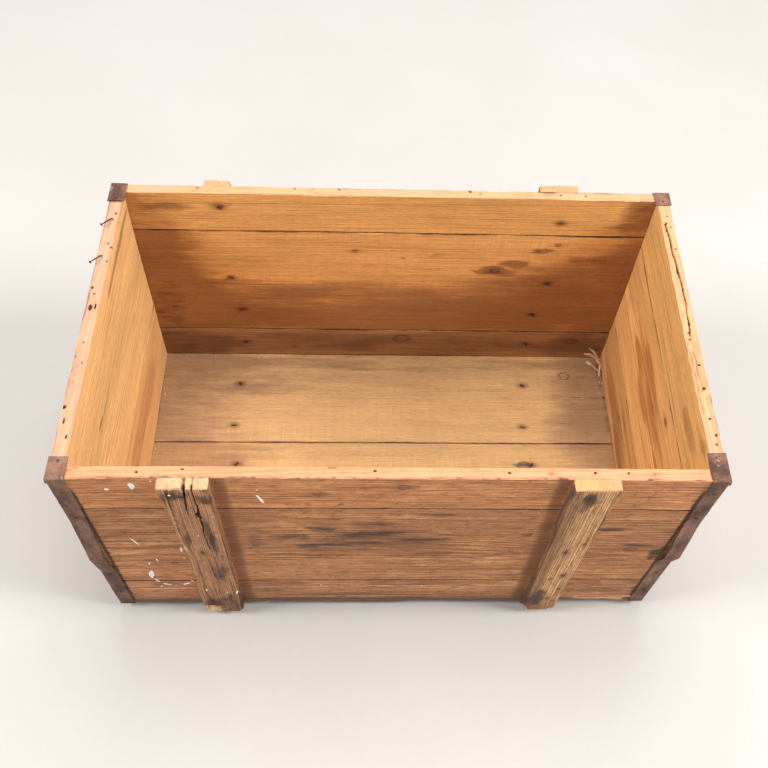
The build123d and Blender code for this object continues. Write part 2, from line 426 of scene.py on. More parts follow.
# ---------------------------------------------------------------- boards
def board_outline(lo, hi, axes, tongue, groove, step, rim_step):
    """A board's section as a closed loop of (across, through) places."""
    _, across, through = axes
    b0, b1 = lo[across], hi[across]
    c0, c1 = lo[through], hi[through]
    middle = (c0 + c1) / 2
    half = tongue_thickness / 2
    loop = []
    face = spread(b0, b1, step)
    if rim_step:
        top = np.arange(b1 - 9 * MM, b1 - 2.5 * MM, 1.6 * MM)
        face = np.unique(np.concatenate([face, top]))
    if groove:
        deep = b0 + tongue_height + groove_play
        left = spread(c0, middle - half, step)
        right = spread(middle + half, c1, step)
        loop += [(b0, c) for c in left]
        loop += [(deep, middle - half), (deep, middle + half)]
        loop += [(b0, c) for c in right]
    else:
        loop += [(b0, c) for c in spread(c0, c1, step)]
    loop += [(b, c1) for b in face[1:-1]]
    if tongue:
        high = b1 + tongue_height
        right = spread(middle + half, c1, step)[::-1]
        left = spread(c0, middle - half, step)[::-1]
        loop += [(b1, c) for c in right]
        loop += [(high, middle + half), (high, middle - half)]
        loop += [(b1, c) for c in left]
    else:
        loop += [(b1, c) for c in spread(c0, c1, rim_step or step)[::-1]]
    loop += [(b, c0) for b in face[1:-1][::-1]]
    return np.array(loop)


def plain_board(group, node):
    """A board with worn edges, a slight warp and open joints, before its own marks are added."""
    names, axes, inward = GROUPS[group]
    along, across, through = axes
    lo, hi = box(node)
    groove = node != names[0]
    tongue = node != names[-1]
    is_rim = not tongue and group != "floor"
    if tongue:
        hi[across] -= tongue_height
    seed = seed_of(node)
    outline = board_outline(lo, hi, axes, tongue, groove, 4.5 * MM, 1.1 * MM if is_rim else None)
    stations = spread(lo[along], hi[along], 1.7 * MM if is_rim else 4.5 * MM)
    rings = np.zeros((len(stations), len(outline), 3))
    rings[:, :, along] = stations[:, None]
    rings[:, :, across] = outline[None, :, 0]
    rings[:, :, through] = outline[None, :, 1]
    piece = Piece(*tube(rings), axes, node, inward)
    piece.hi = hi
    p = piece.points
    along_only = np.zeros_like(p)
    along_only[:, along] = p[:, along]
    # Worn arrises, and edges that draw back unevenly from the next board
    in_body = (p[:, across] >= lo[across] - 1e-7) & (p[:, across] <= hi[across] + 1e-7)
    wear = 1.0 + 0.7 * fractal(p, (0.05, 0.05, 0.05), seed) + 0.5 * noise(p, 0.008, seed + 3)
    round_edges(piece, lo, hi, np.clip(wear, 0.35, 2.6) * MM, in_body)
    p = piece.points
    middle = (lo[across] + hi[across]) / 2
    upper = rise(p[:, across], middle, hi[across])
    lower = rise(-p[:, across], -middle, -lo[across])
    open_by, uneven = (1.2, 0.2) if group == "back" else (0.9, 0.35)
    gap = open_by + uneven * fractal(along_only, 0.16, seed + 5) + 0.14 * noise(p, 0.01, seed + 7)
    if tongue:
        p[:, across] -= upper * gap * MM * in_body
    if groove:
        p[:, across] += lower * gap * MM * in_body
    if not tongue:
        worn = np.abs(0.5 * fractal(along_only, 0.2, seed + 9) + 0.25 * noise(p, 0.012, seed))
        p[:, across] -= upper * worn * MM
    # The end boards stop a little short and ragged of the long walls
    if along == Y:
        end = np.sign(p[:, along]) * rise(np.abs(p[:, along]), hi[along] - 12 * MM, hi[along])
        p[:, along] -= end * np.abs(0.7 * fractal(p, 0.018, seed + 11) + 0.25) * MM
    # Warp across the thickness, cupping, and the fine unevenness of old planed wood
    width = (p[:, across] - middle) / (hi[across] - lo[across]) * 2
    cup = (1 - width**2) * (0.5 if hi[across] - lo[across] > 0.15 else 0.2)
    bend = 0.35 * fractal(along_only, 0.3, seed + 13)
    sizes = np.full(3, 7 * MM)
    sizes[along] = 90 * MM
    ripple = 0.16 * fractal(p, sizes, seed + 15) + 0.1 * noise(p, 30 * MM, seed + 17)
    p[:, through] += (-inward * cup + bend + ripple) * MM
    # What the weather and hands have done to the outside, as opposed to the inside
    outer_face = lo[through] if inward > 0 else hi[through]
    depth = np.abs(piece.rest[:, through] - outer_face)
    piece.fields["outer"] = 1 - rise(depth, 0.6 * MM, 3 * MM)
    rest_across = piece.rest[:, across]
    edge_distance = np.minimum(np.abs(rest_across - lo[across]), np.abs(rest_across - hi[across]))
    joint_dirt = (1 - rise(edge_distance, 0.3 * MM, 3.5 * MM)) * (0.75 + 0.4 * fractal(p, 0.06, seed + 19))
    if tongue or groove:
        piece.paint("grime", np.maximum(joint_dirt, 0) * (1 if tongue and groove else 0.8))
    if is_rim:
        piece.fields["grime"] *= 1 - rise(piece.rest[:, Z], rim - 30 * MM, rim - 20 * MM)
        pale = 1 - rise(rim - piece.rest[:, Z], 0.4 * MM, 2.2 * MM)
        piece.fields["fresh"] = pale
        piece.fields["outer"] *= 1 - pale
        patches = rise(fractal(piece.rest, (0.03, 0.02, 0.03), seed + 23), 0.12, 0.7)
        specks = rise(noise(piece.rest, (0.007, 0.005, 0.007), seed + 29), 0.35, 0.75)
        piece.paint("grime", pale * (0.26 * patches + 0.28 * specks))
        piece.paint("grime", pale * (1 - rise(depth, 2 * MM, 5 * MM)) * 0.4)
    return piece


def place(piece, a, b, face="inner"):
    """A point on a board's inner or outer face, from its places along and across in millimetres."""
    return piece.vector(a, b, piece.level(face)[0] / MM)


BLOB_DEPTH = 9  # how far a painted blob reaches into the wood, in millimetres


def spot_blobs(piece, field, blobs, face):
    """Paints soft blobs (along, across, half length, half width, amount), in millimetres, on one face."""
    for n, (a, b, long_radius, wide_radius, amount) in enumerate(blobs):
        radii = piece.vector(long_radius, wide_radius, BLOB_DEPTH)
        piece.blob(field, place(piece, a, b, face), radii, amount, seed=piece.seed + 31 + n)


def rim_holes(piece, holes, radius):
    """Old nail holes in a rim, as (x, y) in millimetres, with an optional radius."""
    for n, hole in enumerate(holes):
        x, y = hole[:2]
        size = hole[2] if len(hole) > 2 else radius
        centre = np.array([x * MM, y * MM, rim])
        piece.carve(centre, mm(size, size, 7), (0, 0, -1), seed=n, ragged=0.15, field="grime", amount=1.5)
        ring = np.hypot(piece.rest[:, X] - x * MM, piece.rest[:, Y] - y * MM) / (size * MM)
        near = (1 - rise(ring, 1.0, 2.4)) * rise(piece.rest[:, Z], rim - 3 * MM, rim - 1 * MM)
        piece.paint("grime", 0.35 * near)


def rim_chips(piece, chips, edge):
    """Breaks splinters off a rim's edge: (along, half length, how wide, how deep), in millimetres."""
    level, way = piece.level(edge)
    direction = piece.vector(0, -0.75, -0.66 * way) / MM
    for n, (a, half, wide, deep) in enumerate(chips):
        centre = piece.vector(a, rim / MM + deep * 0.3, level / MM + way * wide * 0.3)
        radii = piece.vector(half, deep * 1.3, wide * 1.3)
        piece.carve(centre, radii, direction, n + piece.seed, 0.35, "fresh", 0.9)


# The marks of each board, in places along and across it in millimetres:
# - knots, as (along, across, radius), these in metres;
# - dark brown stains, grime with some painted shadow, and fresh pale wood, as (along, across, half length,
#   half width, amount), on the outer face of the front wall and on the inner face of everything else;
# - nail holes in a rim, as (x, y) or (x, y, radius), and the radius of those without one;
# - splinters off a rim's two edges, as (along, half length, how wide, how deep).
MARKS = {
    # On the front boards the grime blobs at about x = ±425, along the irons' inner edges, are partly
    # painted shadow of the irons, which stand off the wood.
    "front_board_bottom": {
        "dark": [(0, 50, 470, 34, 0.45), (350, 80, 80, 30, 0.4)],
        "grime": [
            (-80, 33, 380, 9, 0.8), (-365, 104, 40, 12, 0.75), (230, 70, 30, 12, 0.6),
            (-190, 76, 30, 14, 0.6), (370, 70, 80, 16, 0.45), (-40, 60, 60, 14, 0.4),
            (120, 92, 70, 8, 0.4), (25, 76, 25, 10, 0.5), (424, 60, 20, 40, 0.6),
        ],
        "fresh": [
            (362, 34, 44, 4.5, 1.1), (398, 37, 26, 3.5, 0.9), (424, 44, 8, 5, 0.6),
            (372, 52, 20, 2.5, 0.6), (355, 84, 14, 3, 0.4),
        ],
    },
    "front_board_middle": {
        "knots": [(0.205, 0.300, 0.005), (-0.330, 0.190, 0.004), (0.372, 0.245, 0.007)],
        "dark": [
            (-20, 260, 190, 70, 0.6), (330, 230, 130, 70, 0.3), (-390, 240, 60, 90, 0.2),
            (140, 330, 120, 24, 0.35), (40, 160, 260, 22, 0.35),
        ],
        "grime": [
            (-60, 275, 200, 62, 0.45), (330, 240, 110, 60, 0.2), (-28, 300, 70, 12, 0.5),
            (-60, 262, 80, 10, 0.45), (60, 280, 70, 9, 0.45), (-150, 290, 34, 16, 0.6),
            (-10, 335, 50, 9, 0.6), (130, 300, 60, 10, 0.5), (-100, 318, 30, 14, 0.6),
            (-120, 250, 26, 16, 0.5), (-120, 225, 70, 10, 0.5), (40, 215, 100, 10, 0.5),
            (150, 240, 40, 10, 0.45), (-200, 270, 16, 40, 0.45), (0, 350, 50, 6, 0.5),
            (70, 365, 50, 9, 0.6), (-90, 350, 40, 7, 0.4), (385, 260, 44, 12, 0.9),
            (330, 320, 44, 10, 0.8), (420, 232, 20, 34, 0.9), (350, 200, 60, 7, 0.35),
            (-395, 300, 20, 12, 0.3), (400, 180, 60, 10, 0.4), (215, 255, 12, 36, 0.45),
            (-360, 130, 46, 5, 0.6),
        ],
    },
    "front_board_top": {
        "knots": [(0.016, 0.451, 0.006), (-0.102, 0.429, 0.004)],
        "dark": [
            (-100, 430, 26, 9, 0.6), (18, 450, 22, 10, 0.5), (-402, 430, 40, 30, 0.35),
            (330, 425, 90, 12, 0.45), (120, 440, 120, 8, 0.3), (-20, 420, 60, 7, 0.5),
            (40, 462, 90, 5, 0.35),
        ],
        "grime": [
            (-200, 430, 25, 26, 0.35), (60, 398, 80, 8, 0.35), (-430, 440, 12, 30, 0.4),
            (425, 420, 16, 44, 0.4), (-102, 429, 12, 5, 0.5),
        ],
        "holes": [
            (-277, -247), (270, -250), (315, -250), (-24, -249, 1.7), (155, -251, 1.6),
            (-336, -252, 1.5),
        ],
        "inner_chips": [(-344, 15, 4, 1.5), (-120, 20, 3, 1.2), (80, 40, 2, 0.8), (250, 24, 2.5, 1)],
        "outer_chips": [
            (-380, 12, 2.4, 2), (-150, 16, 2, 1.5), (-60, 30, 1.8, 1.2), (60, 22, 2.6, 1.6),
            (168, 20, 2, 1.4), (200, 14, 2.4, 2), (360, 24, 2, 1.4), (405, 12, 2.6, 2),
        ],
    },
    "back_board_bottom": {
        "knots": [(0.029, 0.090, 0.011), (0.360, 0.088, 0.009), (-0.180, 0.060, 0.003)],
        "dark": [
            (-380, 70, 130, 60, 0.9), (-150, 75, 200, 50, 0.75), (150, 70, 250, 50, 0.7),
            (380, 80, 90, 50, 0.85),
        ],
        "grime": [
            (0, 34, 460, 6, 0.5), (-266, 76, 26, 4, 0.8), (270, 80, 14, 6, 0.6),
            (-400, 70, 60, 60, 0.45), (365, 88, 16, 12, 0.5), (420, 70, 20, 50, 0.5),
        ],
    },
    "back_board_middle": {
        "knots": [
            (-0.061, 0.345, 0.0040), (0.022, 0.327, 0.0015), (0.287, 0.368, 0.0040),
            (0.255, 0.352, 0.0025), (0.186, 0.298, 0.006),
        ],
        "dark": [
            (-330, 255, 130, 12, 0.4), (-300, 160, 170, 44, 0.42), (0, 150, 430, 34, 0.35),
            (262, 352, 30, 12, 0.9), (215, 318, 30, 12, 0.8), (180, 297, 44, 14, 1.0),
            (85, 337, 26, 9, 0.5), (380, 330, 70, 14, 0.5), (330, 200, 120, 60, 0.4),
            (100, 190, 200, 30, 0.3), (-100, 240, 200, 26, 0.25),
        ],
        "grime": [
            (178, 295, 30, 9, 0.75), (270, 355, 18, 6, 0.5), (-284, 269, 15, 6, 0.55),
            (-400, 190, 60, 100, 0.5), (288, 265, 18, 4, 0.5), (-262, 176, 14, 5, 0.5),
            (269, 174, 12, 4, 0.5), (-262, 380, 16, 2, 0.7), (420, 250, 18, 90, 0.3),
            (215, 285, 26, 5, 0.35),
        ],
    },
    "back_board_top": {
        "dark": [
            (-368, 448, 46, 14, 0.5), (-282, 450, 26, 10, 0.65), (420, 440, 50, 44, 0.4),
            (380, 412, 50, 10, 0.35),
        ],
        "grime": [(-282, 450, 15, 6, 0.7), (-428, 430, 14, 44, 0.35)],
        "holes": [
            (-315, 256), (-159, 258), (-88, 257), (125, 258, 1.8), (141, 253), (273, 253), (314, 253),
        ],
        "inner_chips": [
            (-118, 34, 5, 2.2), (-60, 40, 3, 1.4), (-280, 30, 3, 1), (40, 40, 2.4, 1),
            (300, 44, 3, 1.2), (-200, 18, 2.4, 1), (390, 16, 3, 1.4),
        ],
        "outer_chips": [(170, 34, 4, 2.6), (230, 16, 3, 1.8), (-40, 30, 2, 1.4), (100, 14, 2.6, 1.8)],
    },
    "left_end_board_bottom": {
        "dark": [
            (20, 150, 230, 26, 0.8), (110, 110, 120, 22, 0.8), (-60, 120, 140, 16, 0.7),
            (0, 70, 230, 24, 0.3),
        ],
        "grime": [(0, 34, 240, 6, 0.5), (60, 100, 26, 3, 0.4)],
    },
    "left_end_board_top": {
        "dark": [
            (-112, 360, 22, 4, 0.9), (-90, 357, 26, 3, 0.8), (-60, 352, 20, 2, 0.6),
            (150, 446, 130, 9, 1.1), (30, 395, 60, 3, 0.5), (80, 282, 60, 3, 0.55),
            (20, 265, 50, 3, 0.5), (-40, 250, 26, 3, 0.6), (150, 300, 60, 3, 0.4),
            (-150, 300, 60, 3, 0.35), (100, 430, 90, 3, 0.45), (-150, 215, 60, 3, 0.4),
        ],
        "grime": [
            (-112, 361, 12, 2.5, 0.8), (-84, 357, 14, 1.6, 0.6), (170, 447, 80, 6, 0.55),
            (120, 300, 60, 2, 0.5), (60, 380, 40, 2, 0.4),
        ],
        "fresh": [
            (0, 250, 70, 5, 0.3), (-90, 230, 70, 4, 0.3), (90, 330, 60, 4, 0.25),
            (-30, 300, 60, 3, 0.25),
        ],
        "holes": [
            (-435, 200), (-437, 139), (-431, 132), (-433, 104), (-445, 54, 1.5), (-441, 42, 1.2),
            (-441, -44, 1.1), (-448, -68), (-437, -79, 1.0),
        ],
        "inner_chips": [
            (-80, 30, 3, 1.2), (60, 50, 2.4, 1), (150, 26, 3, 1.4), (-190, 24, 3, 1.4), (0, 22, 2, 0.8),
        ],
        "outer_chips": [
            (200, 24, 3, 1.6), (90, 16, 3, 1.4), (20, 26, 3, 1.6), (-70, 34, 3.4, 2),
            (-140, 16, 3, 1.6), (-210, 18, 3, 1.6),
        ],
    },
    "right_end_board_bottom": {
        "dark": [(-60, 130, 160, 12, 0.7), (60, 80, 200, 30, 0.8), (-80, 60, 160, 20, 0.7)],
        "grime": [(0, 34, 240, 6, 0.5), (0, 105, 200, 1.6, 0.8)],
    },
    "right_end_board_middle": {
        "knots": [(-0.086, 0.333, 0.005), (-0.030, 0.290, 0.002)],
        "dark": [
            (-10, 275, 190, 50, 0.75), (-150, 225, 60, 12, 0.8), (40, 312, 60, 16, 0.7),
            (16, 240, 60, 16, 0.6), (-86, 334, 26, 9, 0.7), (-128, 252, 40, 7, 0.95),
            (90, 265, 70, 10, 0.55), (-30, 280, 70, 8, 0.6), (-190, 240, 40, 12, 0.6),
            (150, 300, 60, 9, 0.4), (-60, 210, 60, 7, 0.5),
        ],
        "grime": [(-128, 252, 26, 3, 0.6), (-86, 334, 14, 5, 0.6), (200, 250, 20, 80, 0.3)],
    },
    "right_end_board_top": {
        "dark": [
            (-150, 420, 60, 24, 0.6), (-60, 410, 90, 4, 0.5), (60, 430, 90, 4, 0.5),
            (140, 400, 60, 4, 0.4), (-100, 380, 80, 4, 0.45), (40, 390, 90, 3, 0.4),
            (150, 450, 70, 4, 0.4), (-190, 455, 40, 14, 0.6),
        ],
        "hole_radius": 1.3,
        "holes": [
            (442, 212), (438, 198), (444, 190), (444, 145), (439.6, 98, 1.6), (442, 66, 1.7),
            (440, 0, 1.7), (437, -15), (437, -27), (442, -73, 1.5), (442, -113, 1.7), (441, -163),
            (445, -189, 1.5), (443, -204),
        ],
        "inner_chips": [
            (-20, 34, 6, 3), (-60, 30, 5, 3), (-100, 26, 6, 3), (-140, 30, 4, 2), (30, 40, 5, 3),
            (100, 46, 4, 2.6), (160, 30, 5, 3), (190, 18, 4, 2),
        ],
        "outer_chips": [
            (205, 20, 3, 2), (120, 18, 3, 1.6), (40, 26, 2.4, 1.6), (-80, 22, 3, 1.8),
            (-150, 30, 3, 1.6), (-200, 14, 3, 2),
        ],
    },
    "floor_board_front": {
        "dark": [(0, -225, 430, 20, 0.4)],
        "grime": [(0, -240, 430, 8, 0.5), (-420, -200, 16, 60, 0.4)],
    },
    "floor_board_middle": {
        "knots": [(0.259, -0.006, 0.009)],
        "dark": [
            (-290, 5, 50, 22, 0.4), (-60, 20, 60, 22, 0.3), (-280, 30, 160, 4, 0.4),
            (60, 38, 200, 3, 0.35),
        ],
        "grime": [(259, -4, 24, 5, 1.0), (230, 38, 60, 2.5, 0.7), (320, 39, 80, 2.5, 0.6)],
    },
    "floor_board_back": {
        "knots": [(0.353, 0.197, 0.008)],
        "dark": [
            (-200, 222, 260, 26, 0.6), (-220, 165, 120, 22, 0.4), (-100, 190, 330, 12, 0.35),
            (260, 225, 160, 16, 0.6), (100, 210, 200, 12, 0.45),
        ],
        "grime": [
            (428, 205, 12, 50, 0.7), (0, 240, 430, 6, 0.5), (429, 110, 9, 70, 0.6),
            (243, 126, 14, 5, 0.6), (249, 158, 9, 6, 0.4), (-430, 150, 8, 90, 0.5),
        ],
        "fresh": [(-120, 138, 240, 9, 0.25), (100, 150, 200, 6, 0.2), (-60, 90, 300, 12, 0.15)],
    },
}


def marked_boards(group):
    """The boards of a wall or of the floor with their marks, except for the splinters off the rim."""
    pieces = {}
    for node in GROUPS[group][0]:
        piece = pieces[node] = plain_board(group, node)
        marks = MARKS[node]
        piece.knots = marks.get("knots", [])
        for field in ("dark", "grime", "fresh"):
            spot_blobs(piece, field, marks.get(field, ()), "outer" if group == "front" else "inner")
        rim_holes(piece, marks.get("holes", ()), marks.get("hole_radius", 1.4))
    return pieces


def splinter_rim(piece, node):
    """Breaks the splinters off both edges of a rim, once its other damage is there."""
    for edge in ("inner", "outer"):
        rim_chips(piece, MARKS[node][edge + "_chips"], edge)


def front_boards():
    """The three boards of the front wall: brown and stained outside, pale along the rim."""
    pieces = marked_boards("front")
    for piece in pieces.values():
        # Painted shadow beside the irons, which stand off the wood, and painted shade beside the battens
        from_iron = np.abs(np.abs(piece.rest[:, X]) - (half_length - 24.5 * MM))
        below_cap = 1 - rise(piece.rest[:, Z], rim - 60 * MM, rim - 20 * MM)
        beside_iron = (1 - rise(from_iron, 1.2 * MM, 4.5 * MM)) * below_cap
        piece.paint("grime", 1.5 * beside_iron * piece.fields["outer"])
        for x in (-231, 229):
            beside = 1 - rise(np.abs(piece.rest[:, X] - x * MM), 3 * MM, 17 * MM)
            piece.paint("dark", 0.8 * beside * piece.fields["outer"])
    splinter_rim(pieces["front_board_top"], "front_board_top")
    # The lower right edge is broken and pale
    bottom = pieces["front_board_bottom"]
    broken = rise(bottom.rest[:, X], 312 * MM, 330 * MM) * (1 - rise(bottom.rest[:, Z], 36 * MM, 46 * MM))
    broken = broken * bottom.fields["outer"]
    bottom.fields["grime"] *= 1 - 0.9 * broken
    bottom.paint("fresh", broken * (0.7 + 0.7 * fractal(bottom.rest * [1, 0, 1], 0.016, 78)))
    for n, (a, half) in enumerate(((345, 16), (372, 18), (398, 14))):
        bottom.carve(place(bottom, a, 31, "outer"), mm(half, 5, 4), (0, 0.9, 0.4), n, 0.4, "fresh", 0.9)
    return pieces


def back_boards():
    """The three boards of the back wall: honey brown inside, with knots and the bent tips of the nails."""
    pieces = marked_boards("back")
    top, middle = pieces["back_board_top"], pieces["back_board_middle"]
    splinter_rim(top, "back_board_top")
    # Painted shadow of the front wall: the wood is darker below a wavy line that falls away to the left
    stations, heights = (-450, -300, 0, 100, 250, 430), (286, 262, 262, 280, 312, 372)
    front_wall_shadow_line = np.interp(middle.rest[:, X] / MM, stations, heights) * MM
    front_wall_shadow_line = front_wall_shadow_line + 10 * MM * fractal(middle.rest * [0.4, 0, 0], 0.04, 91)
    middle.paint("dark", (1 - rise(middle.rest[:, Z] - front_wall_shadow_line, -55 * MM, 45 * MM)) * 0.8)
    # Painted shade of the end walls: both ends are darker towards the corners
    for piece, depth in ((top, 0.65), (middle, 1.3)):
        x = piece.rest[:, X] + 10 * MM * fractal(piece.rest * [0, 0, 1], 0.05, 93)
        piece.paint("dark", depth * (1 - rise(x, -half_length + 20 * MM, -half_length + 190 * MM)))
        piece.paint("dark", 0.55 * rise(x, half_length - 110 * MM, half_length - 20 * MM))
    return pieces


def left_boards():
    """The two boards of the left end: bright honey wood, and the pale rim full of nail holes."""
    pieces = marked_boards("left")
    top = pieces["left_end_board_top"]
    # Torn, longer nail holes: place in x and y, and radii
    for x, y, radii in (
        (-442, 18, (2.7, 5.4)), (-435.5, 19, (1.3, 5.0)), (-447, -151, (1.9, 2.8)),
        (-444, -172, (0.9, 5.0)), (-436, -197, (1.4, 2.6)),
    ):
        centre = np.array([x * MM, y * MM, rim])
        top.carve(centre, mm(*radii, 5), (0, 0, -1), int(y) + 300, 0.2, "grime", 1.7)
    splinter_rim(top, "left_end_board_top")
    return pieces


def right_boards():
    """The three boards of the right end: golden brown, with a long split along the rim."""
    pieces = marked_boards("right")
    top = pieces["right_end_board_top"]
    down = (0, 0, -1)
    split = [
        (436, 196), (437.5, 178), (439.5, 160), (438.2, 138), (440.4, 118), (440, 98), (442.4, 80),
        (441.6, 62), (442.6, 40), (440.2, 20), (440.4, 0), (438.4, -20),
    ]
    second = [(437, -50), (439, -66), (437.4, -84), (440, -104), (438.6, -120)]
    for path, widths, depth, reach, seed, field, amount in (
        (split, (2.6, 2.0), 9, 4, 4, "grime", 0.9), (second, (1.2, 1.4), 4, 3, 6, "dark", 0.6),
    ):
        points = [(x * MM, y * MM, rim) for x, y in path]
        top.crack(points, mm(*widths), depth * MM, down, reach * MM, seed, field, amount)
    # The wood between the split and the inside has sunk in ragged steps
    lip = (1 - rise(top.rest[:, X], 438 * MM, 440 * MM)) * rise(top.rest[:, Z], rim - 4 * MM, rim - 1 * MM)
    lip = lip * (1 - rise(np.abs(top.rest[:, Y] - 70 * MM), 120 * MM, 135 * MM))
    steps = np.abs(fractal(top.rest * [0.3, 1, 0.3], 0.022, 71)) * 2.4 + 0.4
    top.points[:, Z] -= lip * steps * MM
    splinter_rim(top, "right_end_board_top")
    return pieces


def floor_boards():
    """The three lengthwise boards of the floor: tan and dusty inside, dirty at the walls and underneath."""
    pieces = marked_boards("floor")
    back, front = pieces["floor_board_back"], pieces["floor_board_front"]
    crack = [place(back, a, b) for a, b in ((436, 148), (420, 147), (396, 149), (366, 148))]
    back.crack(crack, mm(1.6, 0.8), 4 * MM, (0, 0, -1), 3 * MM, 2, "grime", 0.9)
    for piece in pieces.values():
        # The floor is darker towards both ends
        x = piece.rest[:, X] + 60 * MM * fractal(piece.rest * [0.3, 1, 0], 0.07, 95)
        piece.paint("dark", 0.85 * (1 - rise(x, -half_length + 40 * MM, -half_length + 330 * MM)))
        piece.paint("dark", rise(x, half_length - 190 * MM, half_length - 30 * MM))
        # The edges that show under the walls are dark with dirt
        sides = rise(np.abs(piece.rest[:, Y]), half_depth - 2 * MM, half_depth - 0.4 * MM)
        ends = rise(np.abs(piece.rest[:, X]), half_length - 2 * MM, half_length - 0.4 * MM)
        edges = np.maximum(sides, ends)
        piece.fields["outer"] = np.maximum(piece.fields["outer"], edges)
        piece.paint("grime", edges * (0.5 + 0.3 * fractal(piece.rest, 0.04, 5)))
        piece.paint("grime", piece.fields["outer"] * 0.25)
    # The front edge is rough, and broken and pale at the right
    at_edge = -front.rest[:, Y]
    broken = rise(front.rest[:, X], 312 * MM, 328 * MM) * (1 - rise(front.rest[:, X], 408 * MM, 424 * MM))
    broken = broken * rise(at_edge, half_depth - 6 * MM, half_depth - 1 * MM)
    front.fields["grime"] *= 1 - 0.85 * broken
    front.paint("fresh", broken * (0.75 + 0.6 * fractal(front.rest * [1, 0, 1], 0.02, 77)))
    rough = rise(at_edge, half_depth - 12 * MM, half_depth)
    low = rise(-front.rest[:, Z], -floor_top, -underside)
    front.points[:, Z] += rough * low * 0.9 * fractal(front.rest * [1, 1, 0], 0.05, 8) * MM
    front.points[:, Y] += rough * 1.6 * np.abs(fractal(front.rest * [1, 0, 1], 0.03, 9)) * MM
    for a, half, wide, deep, pale in (
        (318, 22, 5, 4, 0.9), (345, 26, 6, 5, 0.9), (372, 18, 5, 3.5, 0.9), (392, 14, 4, 3, 0.9),
        (-190, 20, 4, 3, 0.0), (60, 24, 4, 3, 0.0),
    ):
        centre = mm(a, -262, 16 + deep * 0.2)
        front.carve(centre, mm(half, wide, deep), (0, 0.8, 0.6), a, 0.4, "fresh", pale)
    return pieces


# ---------------------------------------------------------------- battens and skids
def batten_piece(node, step=1.0):
    """A batten as a fine grid that follows its tapered sides."""
    lo, hi = box(node)
    outline = np.array([v.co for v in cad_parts[node].data.vertices])
    side = -1 if lo[Y] < 0 else 1

    def edges(height):
        """Where the batten's sides are at its foot or its top."""
        level = outline[np.abs(outline[:, Z] - height) < 1e-5]
        return level[:, X].min(), level[:, X].max()

    foot, top = edges(lo[Z]), edges(hi[Z])
    xs = spread(-1.0, 1.0, 2 * step * MM / (hi[X] - lo[X]), edge=np.array([0, 0.012, 0.03, 0.055, 0.09]))
    ys = spread(lo[Y], hi[Y], 1.3 * MM, edge=np.array([0, 0.5, 1.2]) * MM)
    zs = spread(lo[Z], hi[Z], 2.4 * step * MM)
    points, faces = box_grid(xs, ys, zs)
    share = (points[:, Z] - lo[Z]) / (hi[Z] - lo[Z])
    low_x = foot[0] + (top[0] - foot[0]) * share
    high_x = foot[1] + (top[1] - foot[1]) * share
    across = points[:, X].copy()
    points[:, X] = (low_x + high_x) / 2 + across * (high_x - low_x) / 2
    piece = Piece(points, faces, (Z, X, Y), node, -side)
    piece.across = across
    if node == "front_batten_left":
        splay = 5.0 * MM * rise(points[:, Z], 0.36, 0.48)
        points[:, X] -= splay * (1 - rise(points[:, X], -0.280, -0.268))
        low_x = low_x - splay
    if node == "front_batten_right":
        splay = 2.6 * MM * rise(points[:, Z], 0.25, 0.48)
        points[:, X] += splay * rise(points[:, X], 0.28, 0.30)
        high_x = high_x + splay
    piece.points = points
    piece.rest = points.copy()
    piece.low_x, piece.high_x = low_x, high_x
    return piece


BEYOND = 20 * MM  # moves an edge of a box out of reach, so that it stays sharp


def weather_batten(piece, corner, ridge=0.28):
    """Worn arrises, raised grain on the outer face and sides that swell and narrow a little along the
    batten.
    """
    seed = piece.seed
    p = piece.points
    side = -piece.inward
    wear = corner + 0.9 * fractal(p, 0.05, seed) + 0.5 * noise(p, 0.01, seed + 1)
    radius = np.clip(wear, 0.6, 5) * MM
    local_lo = np.stack([piece.low_x, np.full(len(p), piece.lo[Y]), np.full(len(p), piece.lo[Z])], axis=1)
    local_hi = np.stack([piece.high_x, np.full(len(p), piece.hi[Y]), np.full(len(p), piece.hi[Z])], axis=1)
    # The back of the batten stays flat against the wall
    if side < 0:
        local_hi[:, Y] += BEYOND
    else:
        local_lo[:, Y] -= BEYOND
    round_edges(piece, local_lo, local_hi, radius)
    p = piece.points
    outer = piece.hi[Y] if side > 0 else piece.lo[Y]
    facing = 1 - rise(np.abs(p[:, Y] - outer), 1 * MM, 6 * MM)
    grain = noise(p * [1, 0, 0.03], 2.3 * MM, seed + 5) + 0.6 * noise(p * [1, 0, 0.05], 1.1 * MM, seed + 6)
    waves = 0.35 * fractal(p, (0.02, 0.02, 0.09), seed + 7)
    p[:, Y] -= side * facing * (ridge * grain + waves + ridge) * MM
    at_sides = np.sign(piece.across) * rise(np.abs(piece.across), 0.7, 1)
    p[:, X] += 0.5 * fractal(p * [0, 0, 1], 0.09, seed + 8) * MM * at_sides
    piece.fields["outer"] = np.ones(len(p))
    piece.fields["fresh"] = 0.95 * rise(p[:, Z], rim - 2.2 * MM, rim - 0.8 * MM)
    piece.paint("grime", 0.25 * facing * (0.5 + fractal(p, (0.03, 0.03, 0.1), seed + 9)))


def face_place(piece, x, z, above=0):
    """A point on or above a batten's outer face, from millimetres."""
    return mm(x, piece.level("outer")[0] / MM - piece.inward * above, z)


def face_cracks(piece, cracks):
    """Dirty cracks down the outer face: path of (x, z), widths, depth, reach, seed and how dirty."""
    for path, widths, depth, reach, seed, amount in cracks:
        points = [face_place(piece, x, z) for x, z in path]
        into_wall = (0, piece.inward, 0)
        piece.crack(points, mm(*widths), depth * MM, into_wall, reach * MM, seed, "grime", amount)


def face_carves(piece, carves):
    """Wood broken or worn away: x, z, above the face, radii, way, seed, raggedness, field and amount."""
    for x, z, above, radii, way, seed, ragged, field, amount in carves:
        piece.carve(face_place(piece, x, z, above), mm(*radii), way, seed, ragged, field, amount)


